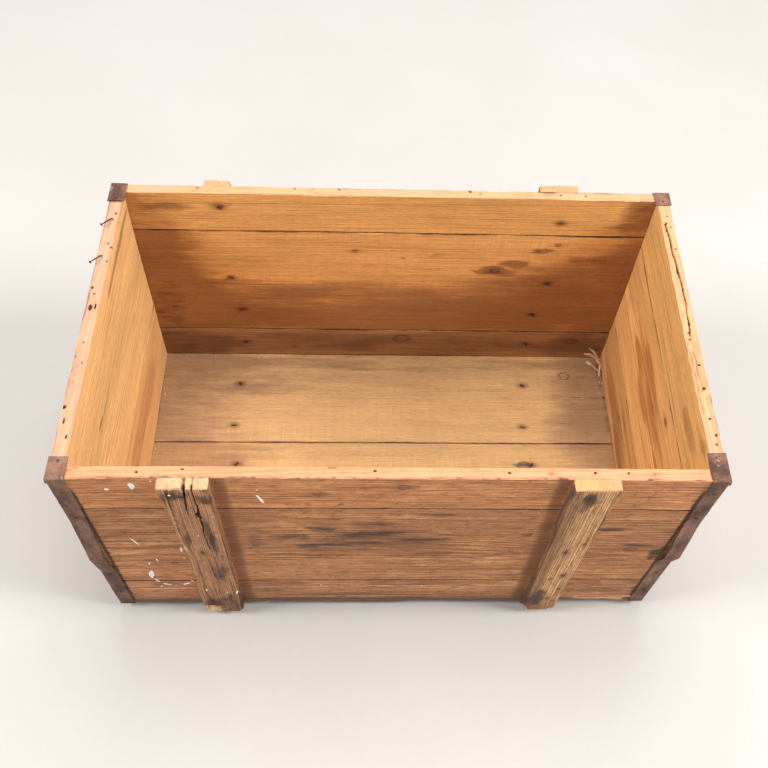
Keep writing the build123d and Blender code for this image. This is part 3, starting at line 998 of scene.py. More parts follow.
def face_blobs(piece, field, first_seed, blobs):
    """Soft blobs on the outer face: (height, x, half length, half width, amount)."""
    for n, (z, x, long_radius, wide_radius, amount) in enumerate(blobs):
        radii = mm(wide_radius, BLOB_DEPTH, long_radius)
        piece.blob(field, face_place(piece, x, z), radii, amount, seed=first_seed + n)


def pale_top(piece, points, low, high, seed, amount):
    """Rubbed, pale wood in a ragged band near a batten's top, from low to high below the rim."""
    band = rise(piece.rest[:, Z], rim - low * MM, rim - high * MM)
    band = band * (0.5 + 0.4 * fractal(points * [1, 1, 0.2], 0.006, seed))
    piece.paint("fresh", amount * np.maximum(band, 0))


def lower_top(piece, depth, wave, height, seed):
    """Wears the top of a batten down unevenly."""
    top_part = rise(piece.rest[:, Z], piece.hi[Z] - height * MM, piece.hi[Z])
    piece.points[:, Z] -= top_part * (depth + wave * fractal(piece.rest * [1, 1, 0], 0.01, seed)) * MM


def front_batten_left():
    """The left front batten: dark, split down from the top in two places, its foot broken at the corner."""
    piece = batten_piece("front_batten_left", step=0.8)
    weather_batten(piece, corner=3.2, ridge=0.35)
    p = piece.points
    face = piece.lo[Y]
    top = piece.hi[Z]
    # The left side is worn back below the middle
    worn = rise(p[:, Z], 90 * MM, 190 * MM) * (1 - rise(p[:, Z], 250 * MM, 350 * MM))
    worn = worn * (1 - rise(piece.across, -1.0, -0.3))
    p[:, X] += worn * (5.0 + 1.2 * fractal(p * [0, 0, 1], 0.02, 41)) * MM
    # The top has broken into lobes between the splits
    for x, width, depth in ((-291, 3.5, 2.5), (-273.5, 3.2, 14), (-262, 1.6, 5)):
        notch = np.clip(1 - np.abs(p[:, X] - x * MM) / (width * MM), 0, 1) ** 0.6
        near_top = rise(piece.rest[:, Z], top - 5 * MM, top - 1 * MM)
        shallow_back = 0.45 + 0.55 * rise(-p[:, Y], -(face + 15 * MM), -(face + 2 * MM))
        p[:, Z] -= notch * near_top * depth * MM * shallow_back
    lobes = 1.4 * fractal(p * [1, 1, 0], 0.012, 21)
    p[:, Z] -= rise(piece.rest[:, Z], top - 3 * MM, top) * np.abs(lobes) * MM
    main_split = [(-273.5, 478), (-273, 464), (-275, 446), (-276, 430), (-277.5, 412), (-277, 398)]
    long_split = [
        (-262.5, 474), (-262, 452), (-262.5, 436), (-261, 418), (-264, 398), (-263, 384), (-262, 364),
        (-264.5, 340), (-264, 312), (-263, 282),
    ]
    face_cracks(piece, (
        (main_split, (3.4, 1.0), 12, 8, 1, 0.7),
        (long_split, (1.3, 1.3), 10, 8, 2, 0.7),
        ([(-261.5, 428), (-262, 404)], (2.4, 2.4), 11, 8, 5, 0.8),
    ))
    face_carves(piece, (
        (-264, 399, 0, (3.2, 8, 4.8), (0, 1, 0), 399, 0.25, "grime", 0.9),
        (-262.5, 390, 0, (2.8, 8, 4.2), (0, 1, 0), 390, 0.25, "grime", 0.9),
    ))
    face_cracks(piece, (
        ([(-296, 470), (-297, 430), (-295.5, 380), (-297.5, 330)], (0.9, 0.9), 2.2, 6, 8, 0.4),
        ([(-271, 250), (-269, 200), (-267.5, 150), (-269, 110)], (0.8, 1.2), 2.0, 6, 9, 0.4),
    ))
    # The foot is broken away at its left corner and rubbed round at its right one
    face_carves(piece, (
        (-309, 30, 0, (7, 9, 26), (0.9, 0.3, 0), 12, 0.4, None, 1.0),
        (-239, 14, 0, (9, 10, 12), (-0.7, 0.4, 0.6), 13, 0.3, None, 1.0),
        (-241, 60, 1, (3, 5, 60), (-0.8, 0.6, 0), 14, 0.5, None, 1.0),
        (-306, 290, 1, (4, 4, 26), (0.8, 0.6, 0), 15, 0.5, "fresh", 0.35),
        (-300, 34, 2, (24, 12, 15), (0.1, 0.98, 0.1), 17, 0.3, "fresh", 1.5),
    ))
    # The right side face, which looks to the middle of the wall, is dark with dirt and painted shade; the
    # foot is darker.
    foot = rise(-piece.rest[:, Z], -150 * MM, -20 * MM)
    piece.paint("grime", 0.65 * rise(piece.across, 0.975, 0.995) + 0.2 * foot)
    piece.paint("dark", 0.3 + 0.5 * foot)
    face_blobs(piece, "grime", 60, (
        (452, -294, 26, 16, 0.75), (446, -249, 22, 12, 0.95), (345, -257, 60, 9, 0.7),
        (300, -254, 40, 8, 0.6), (75, -256, 30, 12, 0.8), (60, -285, 30, 20, 0.6),
        (318, -290, 26, 12, 0.5), (200, -262, 70, 14, 0.4),
    ))
    piece.blob("fresh", face_place(piece, -302, 282), mm(7, 8, 24), 0.55, seed=81)
    pale_top(piece, p, 22, 6, 83, 0.6)
    broken = 1 - rise(piece.rest[:, Z], 27 * MM, 36 * MM)
    broken = broken * (1 - rise(piece.rest[:, X], -286 * MM, -270 * MM))
    for field in ("grime", "dark"):
        piece.fields[field] *= 1 - 0.92 * broken
    piece.paint("fresh", broken * 1.2)
    piece.knots = [(0.398, -0.264, 0.004), (0.205, -0.250, 0.006), (0.255, -0.247, 0.003)]
    return piece


def front_batten_right():
    """The right front batten: straight, raised, yellowish grain, a blue-grey patch and a rounded foot."""
    piece = batten_piece("front_batten_right")
    weather_batten(piece, corner=2.4, ridge=0.45)
    face_carves(piece, (
        (300, 330, 1, (5, 5, 170), (-0.75, 0.66, 0), 3, 0.35, None, 1.0),
        (238, 14, -1, (10, 12, 20), (0.8, 0.4, 0.45), 5, 0.3, None, 1.0),
        (294, 14, -1, (12, 12, 16), (-0.7, 0.4, 0.6), 6, 0.3, None, 1.0),
    ))
    face_blobs(piece, "grime", 20, (
        (436, 262, 34, 20, 0.75), (452, 268, 22, 16, 0.5), (300, 289, 8, 6, 0.9), (90, 255, 34, 16, 0.85),
        (60, 250, 30, 20, 0.7), (60, 285, 10, 8, 0.6), (118, 284, 8, 5, 0.8), (230, 262, 26, 8, 0.4),
        (330, 302, 150, 4, 0.8), (250, 300, 120, 4, 0.7), (163, 262, 12, 6, 0.5),
    ))
    face_blobs(piece, "fresh", 50, (
        (170, 275, 60, 9, 0.5), (290, 250, 70, 9, 0.35), (120, 262, 40, 7, 0.5), (60, 292, 40, 5, 0.6),
        (380, 290, 60, 8, 0.35), (250, 284, 50, 7, 0.35),
    ))
    # The left side, which looks to the middle of the wall, is dark with dirt and painted shade; the foot is
    # darker.
    foot = rise(-piece.rest[:, Z], -110 * MM, -20 * MM)
    piece.paint("grime", 0.75 * (1 - rise(piece.across, -0.995, -0.975)))
    piece.paint("dark", 0.15 + 0.5 * foot + 0.6 * (1 - rise(piece.across, -0.8, 0.0)))
    pale_top(piece, piece.rest, 20, 4, 84, 0.5)
    piece.knots = [(0.461, 0.244, 0.0035)]
    return piece


def back_batten_left():
    """The left back batten: most of its top has broken away below the rim."""
    piece = batten_piece("back_batten_left", step=1.3)
    weather_batten(piece, corner=2.6)
    lower_top(piece, 3.5, 1.2, 14, 31)
    face_carves(piece, (
        (-325, 476, -6, (18.5, 22, 34), (0.1, -0.1, -0.99), 3, 0.3, "fresh", 0.7),
        (-247, 476, -6, (18, 24, 30), (-0.2, 0, -0.98), 4, 0.3, "fresh", 0.6),
    ))
    face_cracks(piece, (([(-283, 478), (-281, 440), (-284, 390), (-282, 340)], (2.2, 0.8), 7, 6, 7, 0.6),))
    face_carves(piece, ((-252, 14, 0, (9, 12, 14), (-0.7, -0.4, 0.6), 8, 0.3, None, 1.0),))
    piece.paint("dark", 0.4 + 0.4 * rise(-piece.rest[:, Z], -0.16, -0.02))
    piece.knots = [(0.300, -0.292, 0.005)]
    return piece


def back_batten_right():
    """The right back batten: pale ragged top, a dark chip at its left corner."""
    piece = batten_piece("back_batten_right", step=1.3)
    weather_batten(piece, corner=2.6)
    lower_top(piece, 2.2, 0.9, 10, 33)
    face_carves(piece, ((241, 480, -8, (7, 18, 9), (0.3, 0, -0.95), 3, 0.3, "grime", 0.9),))
    face_cracks(piece, (([(262, 478), (263, 430), (261, 400)], (1.6, 0.6), 6, 6, 7, 0.6),))
    face_carves(piece, ((240, 14, 0, (10, 12, 16), (0.7, -0.4, 0.6), 8, 0.3, None, 1.0),))
    piece.paint("dark", 0.4 + 0.4 * rise(-piece.rest[:, Z], -0.16, -0.02))
    piece.knots = [(0.220, 0.286, 0.006)]
    return piece


def skid_piece(node):
    """A skid under the floor, rough sawn and bruised along its lower edges."""
    lo, hi = box(node)
    points, faces = box_grid(
        spread(lo[X], hi[X], 3 * MM), spread(lo[Y], hi[Y], 4 * MM), spread(lo[Z], hi[Z], 2.5 * MM),
    )
    piece = Piece(points, faces, (Y, X, Z), node)
    high = hi.copy()
    high[Z] += BEYOND
    wear = 2.0 + 1.2 * fractal(points, 0.05, piece.seed) + 0.5 * noise(points, 0.01, piece.seed)
    round_edges(piece, lo, high, np.clip(wear, 0.5, 5) * MM)
    low = 1 - rise(piece.points[:, Z], lo[Z], lo[Z] + 3 * MM)
    saw = 0.16 * np.sin(piece.points[:, Y] / (4.1 * MM) * 2 * math.pi + 2 * noise(piece.points, 0.03, 4))
    piece.points[:, Z] += low * np.abs(saw + 0.35 * fractal(piece.points, 0.03, piece.seed + 2)) * MM
    # Bruises along the two lower edges in turn
    for n, y in enumerate((-180, -60, 40, 150, 215)):
        from_side, way_in = (0, 0.7) if n % 2 else (64, -0.7)
        centre = mm(lo[X] / MM + from_side, y, 0)
        piece.carve(centre, mm(5, 22, 5), (way_in, 0, 0.7), seed=n, ragged=0.4)
    piece.fields["outer"] = np.ones(len(points))
    piece.paint("grime", 0.45 + 0.3 * fractal(points, 0.05, piece.seed + 3))
    piece.paint("dark", np.full(len(points), 0.5))
    return piece


# ---------------------------------------------------------------- irons
IRON_THICKNESS = box("corner_iron_front_left")[1][Z] - rim
IRON_LEG = 25 * MM
# Each iron: side in X, side in Y, how far its cap reaches, the buckle as (height, standing out), and how
# far the cap's end and its inner edge lift, all in millimetres
IRONS = {
    "corner_iron_front_left": (-1, -1, 36, ((145, 0), (198, 4), (335, 0)), (0.3, -0.8)),
    "corner_iron_front_right": (1, -1, 46, ((178, 0), (206, 5), (330, 0)), (0.5, -1.4)),
    "corner_iron_back_left": (-1, 1, 43, ((170, 0), (204, 5), (325, 0)), (1.6, -1.2)),
    "corner_iron_back_right": (1, 1, 31, ((160, 0), (200, 3), (330, 0)), (0.6, -0.8)),
}


def iron_angle(node):
    """A corner angle: two legs of thin sheet with a soft bend, buckled where the wood has shrunk."""
    side_x, side_y, _, buckle, _ = IRONS[node]
    seed = seed_of(node)
    bend = 2.4 * MM
    arc = [(bend * (1 - math.sin(t)), bend * (1 - math.cos(t))) for t in np.linspace(0, math.pi / 2, 6)]
    run = spread(bend, IRON_LEG, 2.2 * MM, edge=np.array([0, 0.6, 1.4]) * MM)
    outer = [(c, 0.0) for c in run[::-1]] + arc[1:-1] + [(0.0, c) for c in run]
    thin = IRON_THICKNESS
    ring = [(u, v) for u, v in outer] + [(max(u, thin), max(v, thin)) for u, v in outer[::-1]]
    ring = np.array(ring)
    heights = spread(underside + 0.4 * MM, rim - 0.2 * MM, 2.6 * MM)
    stations = [0.0] + [h for h, _ in buckle] + [body_height / MM]
    standing = [0.0] + [s for _, s in buckle] + [0.0]
    out = np.interp((heights - underside) / MM, stations, standing) * MM
    rings = np.zeros((len(heights), len(ring), 3))
    rings[:, :, X] = side_x * (half_length + thin + out[:, None] - ring[None, :, 0])
    rings[:, :, Y] = side_y * (half_depth + thin + out[:, None] - ring[None, :, 1])
    rings[:, :, Z] = heights[:, None]
    piece = Piece(*tube(rings))
    inset = np.tile(ring, (len(heights), 1))
    p = piece.points
    # Wavy free edges, which curl off the wood here and there, and dents
    free = rise(inset.max(1), IRON_LEG - 9 * MM, IRON_LEG)
    on_front = inset[:, 0] > inset[:, 1]
    wave = 0.9 * fractal(p * [0, 0, 1], 0.045, seed) * MM
    lift = np.maximum(0, 0.8 * fractal(p * [0, 0, 1], 0.06, seed + 3) + 0.25) * MM * free
    gape = rise(p[:, Z], 190 * MM, 250 * MM) * (1 - rise(p[:, Z], 350 * MM, 410 * MM))
    lift += (1.8 if side_x > 0 else 0.9) * MM * gape * free
    dent = (0.45 * fractal(p, 0.028, seed + 5) + 0.12 * fractal(p, 0.007, seed + 6)) * MM
    p[:, X] += np.where(on_front, side_x * wave * free, side_x * (lift + dent))
    p[:, Y] += np.where(on_front, side_y * (lift + dent), side_y * wave * free)
    p[:, X] = np.clip(p[:, X], cad_lo[X] + 0.1 * MM, cad_hi[X] - 0.1 * MM)
    return piece


def iron_cap(node):
    """The cap of an angle: sheet bent back over the rim, its end curled and its corner rounded."""
    side_x, side_y, reach, _, (end_lift, inner_lift) = IRONS[node]
    reach = reach * MM
    seed = seed_of(node) + 50
    thin = IRON_THICKNESS
    radius = 3.0 * MM
    drop = 5 * MM
    # The middle line of the sheet, from down on the long wall's face over the bend to the cap's end
    down = [(-thin / 2, -radius - s) for s in np.linspace(drop, 0, 4)][:-1]
    turn = [
        (-thin / 2 + radius * (1 - math.cos(t)), -radius + radius * math.sin(t))
        for t in np.linspace(0, math.pi / 2, 7)
    ]
    flat = [(s, 0.0) for s in np.linspace(radius - thin / 2, reach - thin, 15)[1:]]
    line = np.array(down + turn + flat)
    tangent = np.gradient(line, axis=0)
    tangent /= np.linalg.norm(tangent, axis=1, keepdims=True)
    normal = np.stack([-tangent[:, 1], tangent[:, 0]], axis=1)
    widths = spread(-0.6 * MM, IRON_LEG, 1.8 * MM, edge=np.array([0, 0.5, 1.2]) * MM)
    lift = thin * 0.7
    rings = []
    for u in range(len(line)):
        loop = []
        for sheet_side, order in ((0.5, widths), (-0.5, widths[::-1])):
            for w in order:
                s, h = line[u] + normal[u] * thin * sheet_side
                x = side_x * (half_length + thin - w)
                y = side_y * (half_depth + thin / 2 - s)
                loop.append((x, y, rim + h + lift))
        rings.append(loop)
    piece = Piece(*tube(np.array(rings)))
    p = piece.points
    along = (half_depth - side_y * p[:, Y]) / reach
    inside = (half_length - side_x * p[:, X]) / IRON_LEG
    end_curl = rise(along, 0.75, 1.05)
    inner_curl = rise(inside, 0.72, 1.0)
    on_top = rise(p[:, Z], rim - 1 * MM, rim)
    curl = end_lift * end_curl + inner_lift * inner_curl**2
    p[:, Z] += on_top * (curl + 0.3 * fractal(p, 0.018, seed) + 0.3) * MM
    p[:, Y] += side_y * end_curl * 1.2 * noise(p * [1, 0, 0], 0.009, seed + 1) * MM
    p[:, X] += side_x * inner_curl * 0.9 * noise(p * [0, 1, 0], 0.012, seed + 2) * MM
    p[:, X] = np.clip(p[:, X], cad_lo[X] + 0.1 * MM, cad_hi[X] - 0.1 * MM)
    return piece


def join_pieces(pieces):
    """Several pieces as one."""
    points, faces, start = [], [], 0
    for piece in pieces:
        points.append(piece.points)
        faces.extend([[i + start for i in face] for face in piece.faces])
        start += len(piece.points)
    return Piece(np.concatenate(points), faces)


# ---------------------------------------------------------------- nails
def spokes(way, helper, sides):
    """Unit vectors in a circle square to a way; the first one is square to the helper too."""
    u = np.cross(way, helper)
    u /= np.linalg.norm(u)
    v = np.cross(way, u)
    turns = np.linspace(0, 2 * math.pi, sides, endpoint=False)
    return np.outer(np.cos(turns), u) + np.outer(np.sin(turns), v)


def lathe(profile, centre, axis, seed, sides=14, rough=0.05):
    """A turned shape: profile of (radius, height) along the axis from the centre, a little irregular."""
    axis = np.asarray(axis, float) / np.linalg.norm(axis)
    helper = np.array([0.0, 0, 1]) if abs(axis[2]) < 0.9 else np.array([1.0, 0, 0])
    circle = spokes(axis, helper, sides)
    centre = np.asarray(centre)
    points, faces = tube(np.array([centre + axis * height + circle * radius for radius, height in profile]))
    size = max(radius for radius, _ in profile)
    points = points + rough * size * noise(points, size * 0.9, seed)[:, None] * (points - centre) / size
    return Piece(points, faces)


def wire(path, radius, seed):
    """A nail shank along a path, rounded at both ends."""
    path = np.asarray(path, float)
    tangent = np.gradient(path, axis=0)
    tangent /= np.linalg.norm(tangent, axis=1, keepdims=True)
    up = np.array([0.0, 0, 1]) if abs(tangent[0][2]) < 0.8 else np.array([0.0, 1, 0])
    sizes = np.full(len(path), float(radius))
    sizes[[0, -1]] *= 0.55
    rings = [point + size * spokes(along, up, 10) for point, along, size in zip(path, tangent, sizes)]
    points, faces = tube(np.array(rings))
    points = points + 0.12 * radius * noise(points, radius * 2, seed)[:, None]
    return Piece(points, faces)


def islands(node):
    """The separate solids of a CAD node, as arrays of points."""
    mesh = bmesh.new()
    mesh.from_mesh(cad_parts[node].data)
    bmesh.ops.remove_doubles(mesh, verts=mesh.verts, dist=1e-6)
    left = set(mesh.verts)
    found = []
    while left:
        start = min(left, key=lambda vert: vert.index)
        group, queue = {start}, [start]
        while queue:
            for edge in queue.pop().link_edges:
                for vert in edge.verts:
                    if vert not in group:
                        group.add(vert)
                        queue.append(vert)
        left -= group
        found.append(np.array([vert.co for vert in sorted(group, key=lambda vert: vert.index)]))
    mesh.free()
    return found


def head_of(points, axis):
    """A nail's head: its centre on the outside, and its radius, for a nail driven against the axis."""
    level = points @ axis
    top = points[level > level.max() - 0.5 * MM]
    centre = (top.min(0) + top.max(0)) / 2
    off_axis = top - centre
    off_axis = off_axis - np.outer(off_axis @ axis, axis)
    return centre, np.linalg.norm(off_axis, axis=1).max()


def flat_nail(points, axis, seed):
    """A flat-headed nail, its head a little sunk, its shank straight down to its CAD length."""
    centre, radius = head_of(points, axis)
    level = points @ axis
    length = level.max() - level.min()
    sunk = 0.25 * MM
    shank = 1.4 * MM
    profile = [
        (radius * 0.35, -sunk + 0.02 * MM), (radius * 0.8, -sunk - 0.02 * MM),
        (radius, -sunk - 0.35 * MM), (radius * 0.96, -sunk - 0.9 * MM), (shank, -sunk - 1.3 * MM),
        (shank, -length * 0.6), (shank * 0.9, -length + 3 * MM), (shank * 0.2, -length),
    ]
    return lathe(profile, centre, axis, seed=seed)


def domed_nail(points, axis, seed):
    """A nail of the irons, with a domed head standing on the sheet."""
    level = points @ axis
    top = points[level > level.max() - 0.4 * MM]
    centre = (top.min(0) + top.max(0)) / 2
    radius, height = 3.0 * MM, 1.5 * MM
    length = level.max() - level.min()
    base = -1.4 * MM
    dome = [(radius * math.sin(t), base + height * math.cos(t)) for t in np.linspace(0.12, math.pi / 2, 7)]
    profile = dome + [
        (radius * 0.8, base - 0.5 * MM), (1.0 * MM, base - 0.8 * MM), (0.9 * MM, -length * 0.7),
        (0.2 * MM, -length),
    ]
    return lathe(profile, centre, axis, sides=16, seed=seed, rough=0.07)


def clinched_nail(points, axis, seed):
    """A nail driven right through, its tip bent over and hammered flat into the wood."""
    centre, _ = head_of(points, axis)
    level = points @ axis
    inner = level.min()
    radial = points - centre
    radial = radial - np.outer(radial @ axis, axis)
    deep = level < inner + 4 * MM
    distance = np.where(deep, np.linalg.norm(radial, axis=1), 0)
    tip_way = radial[distance.argmax()] / distance.max()
    exit_point = centre + axis * (inner + 1.2 * MM - centre @ axis)
    to_rim = 3.2 * MM * tip_way
    straight = np.vstack([centre + to_rim, centre, centre - to_rim, exit_point - axis * 2 * MM])
    head = flat_nail(straight, axis, seed)
    bend = np.array(
        [
            exit_point + axis * 5 * MM, exit_point + axis * 1.5 * MM, exit_point,
            exit_point + tip_way * 1.4 * MM - axis * 0.5 * MM,
            exit_point + tip_way * 4 * MM - axis * 0.55 * MM,
            exit_point + tip_way * 7 * MM - axis * 0.2 * MM,
            exit_point + tip_way * 9.5 * MM + axis * 0.6 * MM,
        ]
    )
    return join_pieces([head, wire(bend, 1.15 * MM, seed=seed)]), exit_point, centre, tip_way


def lid_nail(points, seed):
    """A lid nail left in the rim, bent over outwards above the wood."""
    root = points[points[:, Z] < points[:, Z].min() + 1 * MM]
    root = (root.min(0) + root.max(0)) / 2
    elbow = np.array([root[X], root[Y], rim + 1.5 * MM])
    arm = mm(-12.5, -17.5, 5.5)
    path = [
        root, elbow - mm(0, 0, 6), elbow - mm(0, 0, 0.8), elbow + arm * 0.09 + mm(0, 0, 0.9),
        elbow + arm * 0.35 + mm(0, 0, 0.7), elbow + arm * 0.7 + mm(0, 0, 0.5), elbow + arm,
    ]
    shank = wire(path, 1.15 * MM, seed=seed)
    head = lathe(
        [(1.2 * MM, 1.0 * MM), (2.3 * MM, 0.7 * MM), (2.4 * MM, 0.1 * MM), (1.0 * MM, -0.4 * MM)],
        elbow + arm, arm, seed=seed, rough=0.1,
    )
    return join_pieces([shank, head])


# ---------------------------------------------------------------- paint, straw, dust
def paint_drop(path, radii, height, seed):
    """A dried drop or run of paint on the front wall: a thin domed skin around a path in x and z."""
    path = np.array(path, float) * MM
    radii = np.array(radii, float) * MM
    count = 26
    reach = []
    turns = np.linspace(0, 2 * math.pi, count, endpoint=False)
    middle = path.mean(0)
    samples = np.linspace(0, len(path) - 1, 24)
    spine = np.stack([np.interp(samples, range(len(path)), path[:, i]) for i in range(2)], axis=1)
    sizes = np.interp(samples, range(len(path)), radii)
    for turn in turns:
        way = np.array([math.cos(turn), math.sin(turn)])
        steps = np.linspace(0, 0.06, 240)
        ray = middle + steps[:, None] * way
        gaps = np.linalg.norm(ray[:, None] - spine[None], axis=2) - sizes[None]
        inside = (gaps < 0).any(1)
        reach.append(steps[inside].max() if inside.any() else 0.3 * MM)
    places = np.array([[turn * 0.01, seed, 0.0] for turn in turns])
    reach = np.array(reach) * (1 + 0.24 * noise(places, 0.01, seed))
    rings = []
    for share, level in ((1.0, -0.4), (1.0, 0.15), (0.93, 0.6), (0.75, 0.9), (0.4, 1.0), (0.05, 1.0)):
        x = middle[0] + np.cos(turns) * reach * share
        z = middle[1] + np.sin(turns) * reach * share
        rings.append(np.stack([x, np.full(count, -half_depth - level * height * MM), z], axis=1))
    return Piece(*tube(np.array(rings)))


def paint_marks():
    """Splashes of off-white paint on the front wall and the left batten."""
    front = [
        ([(-380, 443)], [3.4], 0.5), ([(-346, 458), (-345, 450), (-346, 444)], [4.0, 4.6, 2.6], 0.6),
        ([(-318, 466)], [1.6], 0.4), ([(-370, 193), (-371, 186)], [1.0, 1.4], 0.4),
        ([(-372, 160), (-374, 150), (-376, 140), (-377, 128)], [1.8, 4.4, 4.0, 1.4], 0.7),
        ([(-373, 122), (-368, 113)], [1.3, 1.5], 0.5), ([(-362, 104), (-352, 99)], [1.9, 1.5], 0.5),
        ([(-344, 96)], [1.2], 0.4), ([(-330, 100), (-322, 106)], [1.9, 2.2], 0.5),
        ([(-315, 115)], [2.2], 0.5), ([(-368, 93)], [1.8], 0.4),
        ([(-184, 430), (-180, 416), (-176, 404)], [2.0, 2.2, 2.6], 0.5), ([(-181, 441)], [1.6], 0.4),
        ([(-381, 287), (-376, 272), (-371, 256)], [1.6, 1.6, 1.2], 0.4),
        ([(-356, 206), (-356, 200)], [1.4, 1.0], 0.4), ([(-312, 250), (-313, 238)], [1.4, 1.8], 0.4),
        ([(-313, 210)], [1.6], 0.4), ([(-117, 210)], [1.6], 0.3), ([(-130, 222)], [1.3], 0.3),
        ([(-107, 95)], [1.6], 0.3), ([(60, 92)], [1.4], 0.3), ([(421, 304)], [1.6], 0.4),
        ([(-60, 300)], [1.2], 0.3),
    ]
    on_batten = [
        ([(-293, 458)], [1.8], 0.4), ([(-290, 118)], [1.8], 0.4), ([(-258, 108)], [1.3], 0.3),
        ([(-244, 100), (-241, 112)], [1.2, 1.4], 0.4), ([(-273, 330)], [1.2], 0.3),
    ]
    pieces = [paint_drop(path, radii, height, n) for n, (path, radii, height) in enumerate(front)]
    for n, (path, radii, height) in enumerate(on_batten):
        drop = paint_drop(path, radii, height, 60 + n)
        drop.points[:, Y] -= batten_face - half_depth - 0.3 * MM
        pieces.append(drop)
    return join_pieces(pieces)


def shaving(start, way, length, width, curl, seed):
    """A dry wisp of packing straw, as a thin curled blade with two faces."""
    count = 14
    t = np.linspace(0, 1, count)
    way = np.asarray(way, float) / np.linalg.norm(way)
    side = np.cross(way, [0, 0, 1.0])
    side /= np.linalg.norm(side)
    spine = np.asarray(start) + np.outer(t * length, way)
    spine[:, Z] += curl * np.sin(t * math.pi)
    spine += np.outer(np.sin(t * 2.3 + seed) * length * 0.12, side)
    half = width / 2 * np.sin(np.clip(t * 0.96 + 0.03, 0, 1) * math.pi) ** 0.5
    crown, belly = mm(0, 0, 0.2), mm(0, 0, 0.25)
    rings = []
    for point, w in zip(spine, half):
        rings.append([point - side * w, point + crown, point + side * w, point - belly])
    return Piece(*tube(np.array(rings)))


def straw():
    """Wisps of packing straw in the back right corner of the floor."""
    corner = np.array([end_inner_x, wall_inner_y, floor_top])
    # Each wisp's start from the corner, way, length, width and curl
    wisps = [
        (mm(-2, -26, 4), (-0.85, 0.45, 1.0), 52, 6.6, 5), (mm(-3, -20, 2), (-1.0, 0.3, 0.7), 46, 6.0, 5),
        (mm(-1, -38, 1), (-0.5, 0.6, 0.9), 42, 6.0, 5), (mm(-5, -36, 1), (-0.8, 0.6, 0.5), 36, 5.4, 4),
        (mm(-2, -12, 14), (-1, 0.02, 0.6), 36, 5.0, 3), (mm(-4, -46, 1), (-0.2, 1, 0.6), 30, 4.0, 2),
        (mm(-12, -30, 1), (-0.9, 0.3, 0.35), 26, 3.0, 3),
    ]
    pieces = []
    for n, (start, way, length, width, curl) in enumerate(wisps):
        pieces.append(shaving(corner + start, way, length * MM, width * MM, curl * MM, n))
    return join_pieces(pieces)


def crumbs():
    """Crumbs of wood and dirt on the floor boards, mostly along the walls."""
    random = np.random.default_rng(7)
    pieces = []
    for n in range(46):
        near_wall = random.random() < 0.75
        x = random.uniform(-0.42, 0.42)
        y = random.uniform(-0.2, 0.235)
        if near_wall:
            near_back = random.random() < 0.5
            if near_back:
                y = wall_inner_y - random.uniform(2, 9) * MM
            else:
                x = (end_inner_x - random.uniform(2, 9) * MM) * random.choice([-1, 1])
        size = random.uniform(0.4, 1.3) * MM
        profile = [
            (size * 0.5, size * 0.8), (size, size * 0.3), (size * 0.9, -size * 0.2),
            (size * 0.4, -size * 0.5),
        ]
        axis = (random.uniform(-0.4, 0.4), random.uniform(-0.4, 0.4), 1)
        pieces.append(lathe(profile, (x, y, floor_top + size * 0.3), axis, sides=7, seed=n, rough=0.35))
    return join_pieces(pieces)


# ---------------------------------------------------------------- materials
def colour(red, green, blue):
    """A linear colour from screen values of 0 to 255."""
    def linear(value):
        """One channel from its screen value."""
        value = value / 255
        return value / 12.92 if value <= 0.04045 else ((value + 0.055) / 1.055) ** 2.4
    return (linear(red), linear(green), linear(blue), 1.0)


class Value:
    """A value in a material: adding, multiplying and so on make its maths nodes."""

    def __init__(self, shader, socket):
        self.shader = shader
        self.socket = socket

    def __add__(self, other):
        return self.shader.math("ADD", self, other)

    def __radd__(self, other):
        return self.shader.math("ADD", other, self)

    def __sub__(self, other):
        return self.shader.math("SUBTRACT", self, other)

    def __rsub__(self, other):
        return self.shader.math("SUBTRACT", other, self)

    def __mul__(self, other):
        return self.shader.math("MULTIPLY", self, other)

    def __truediv__(self, other):
        return self.shader.math("DIVIDE", self, other)


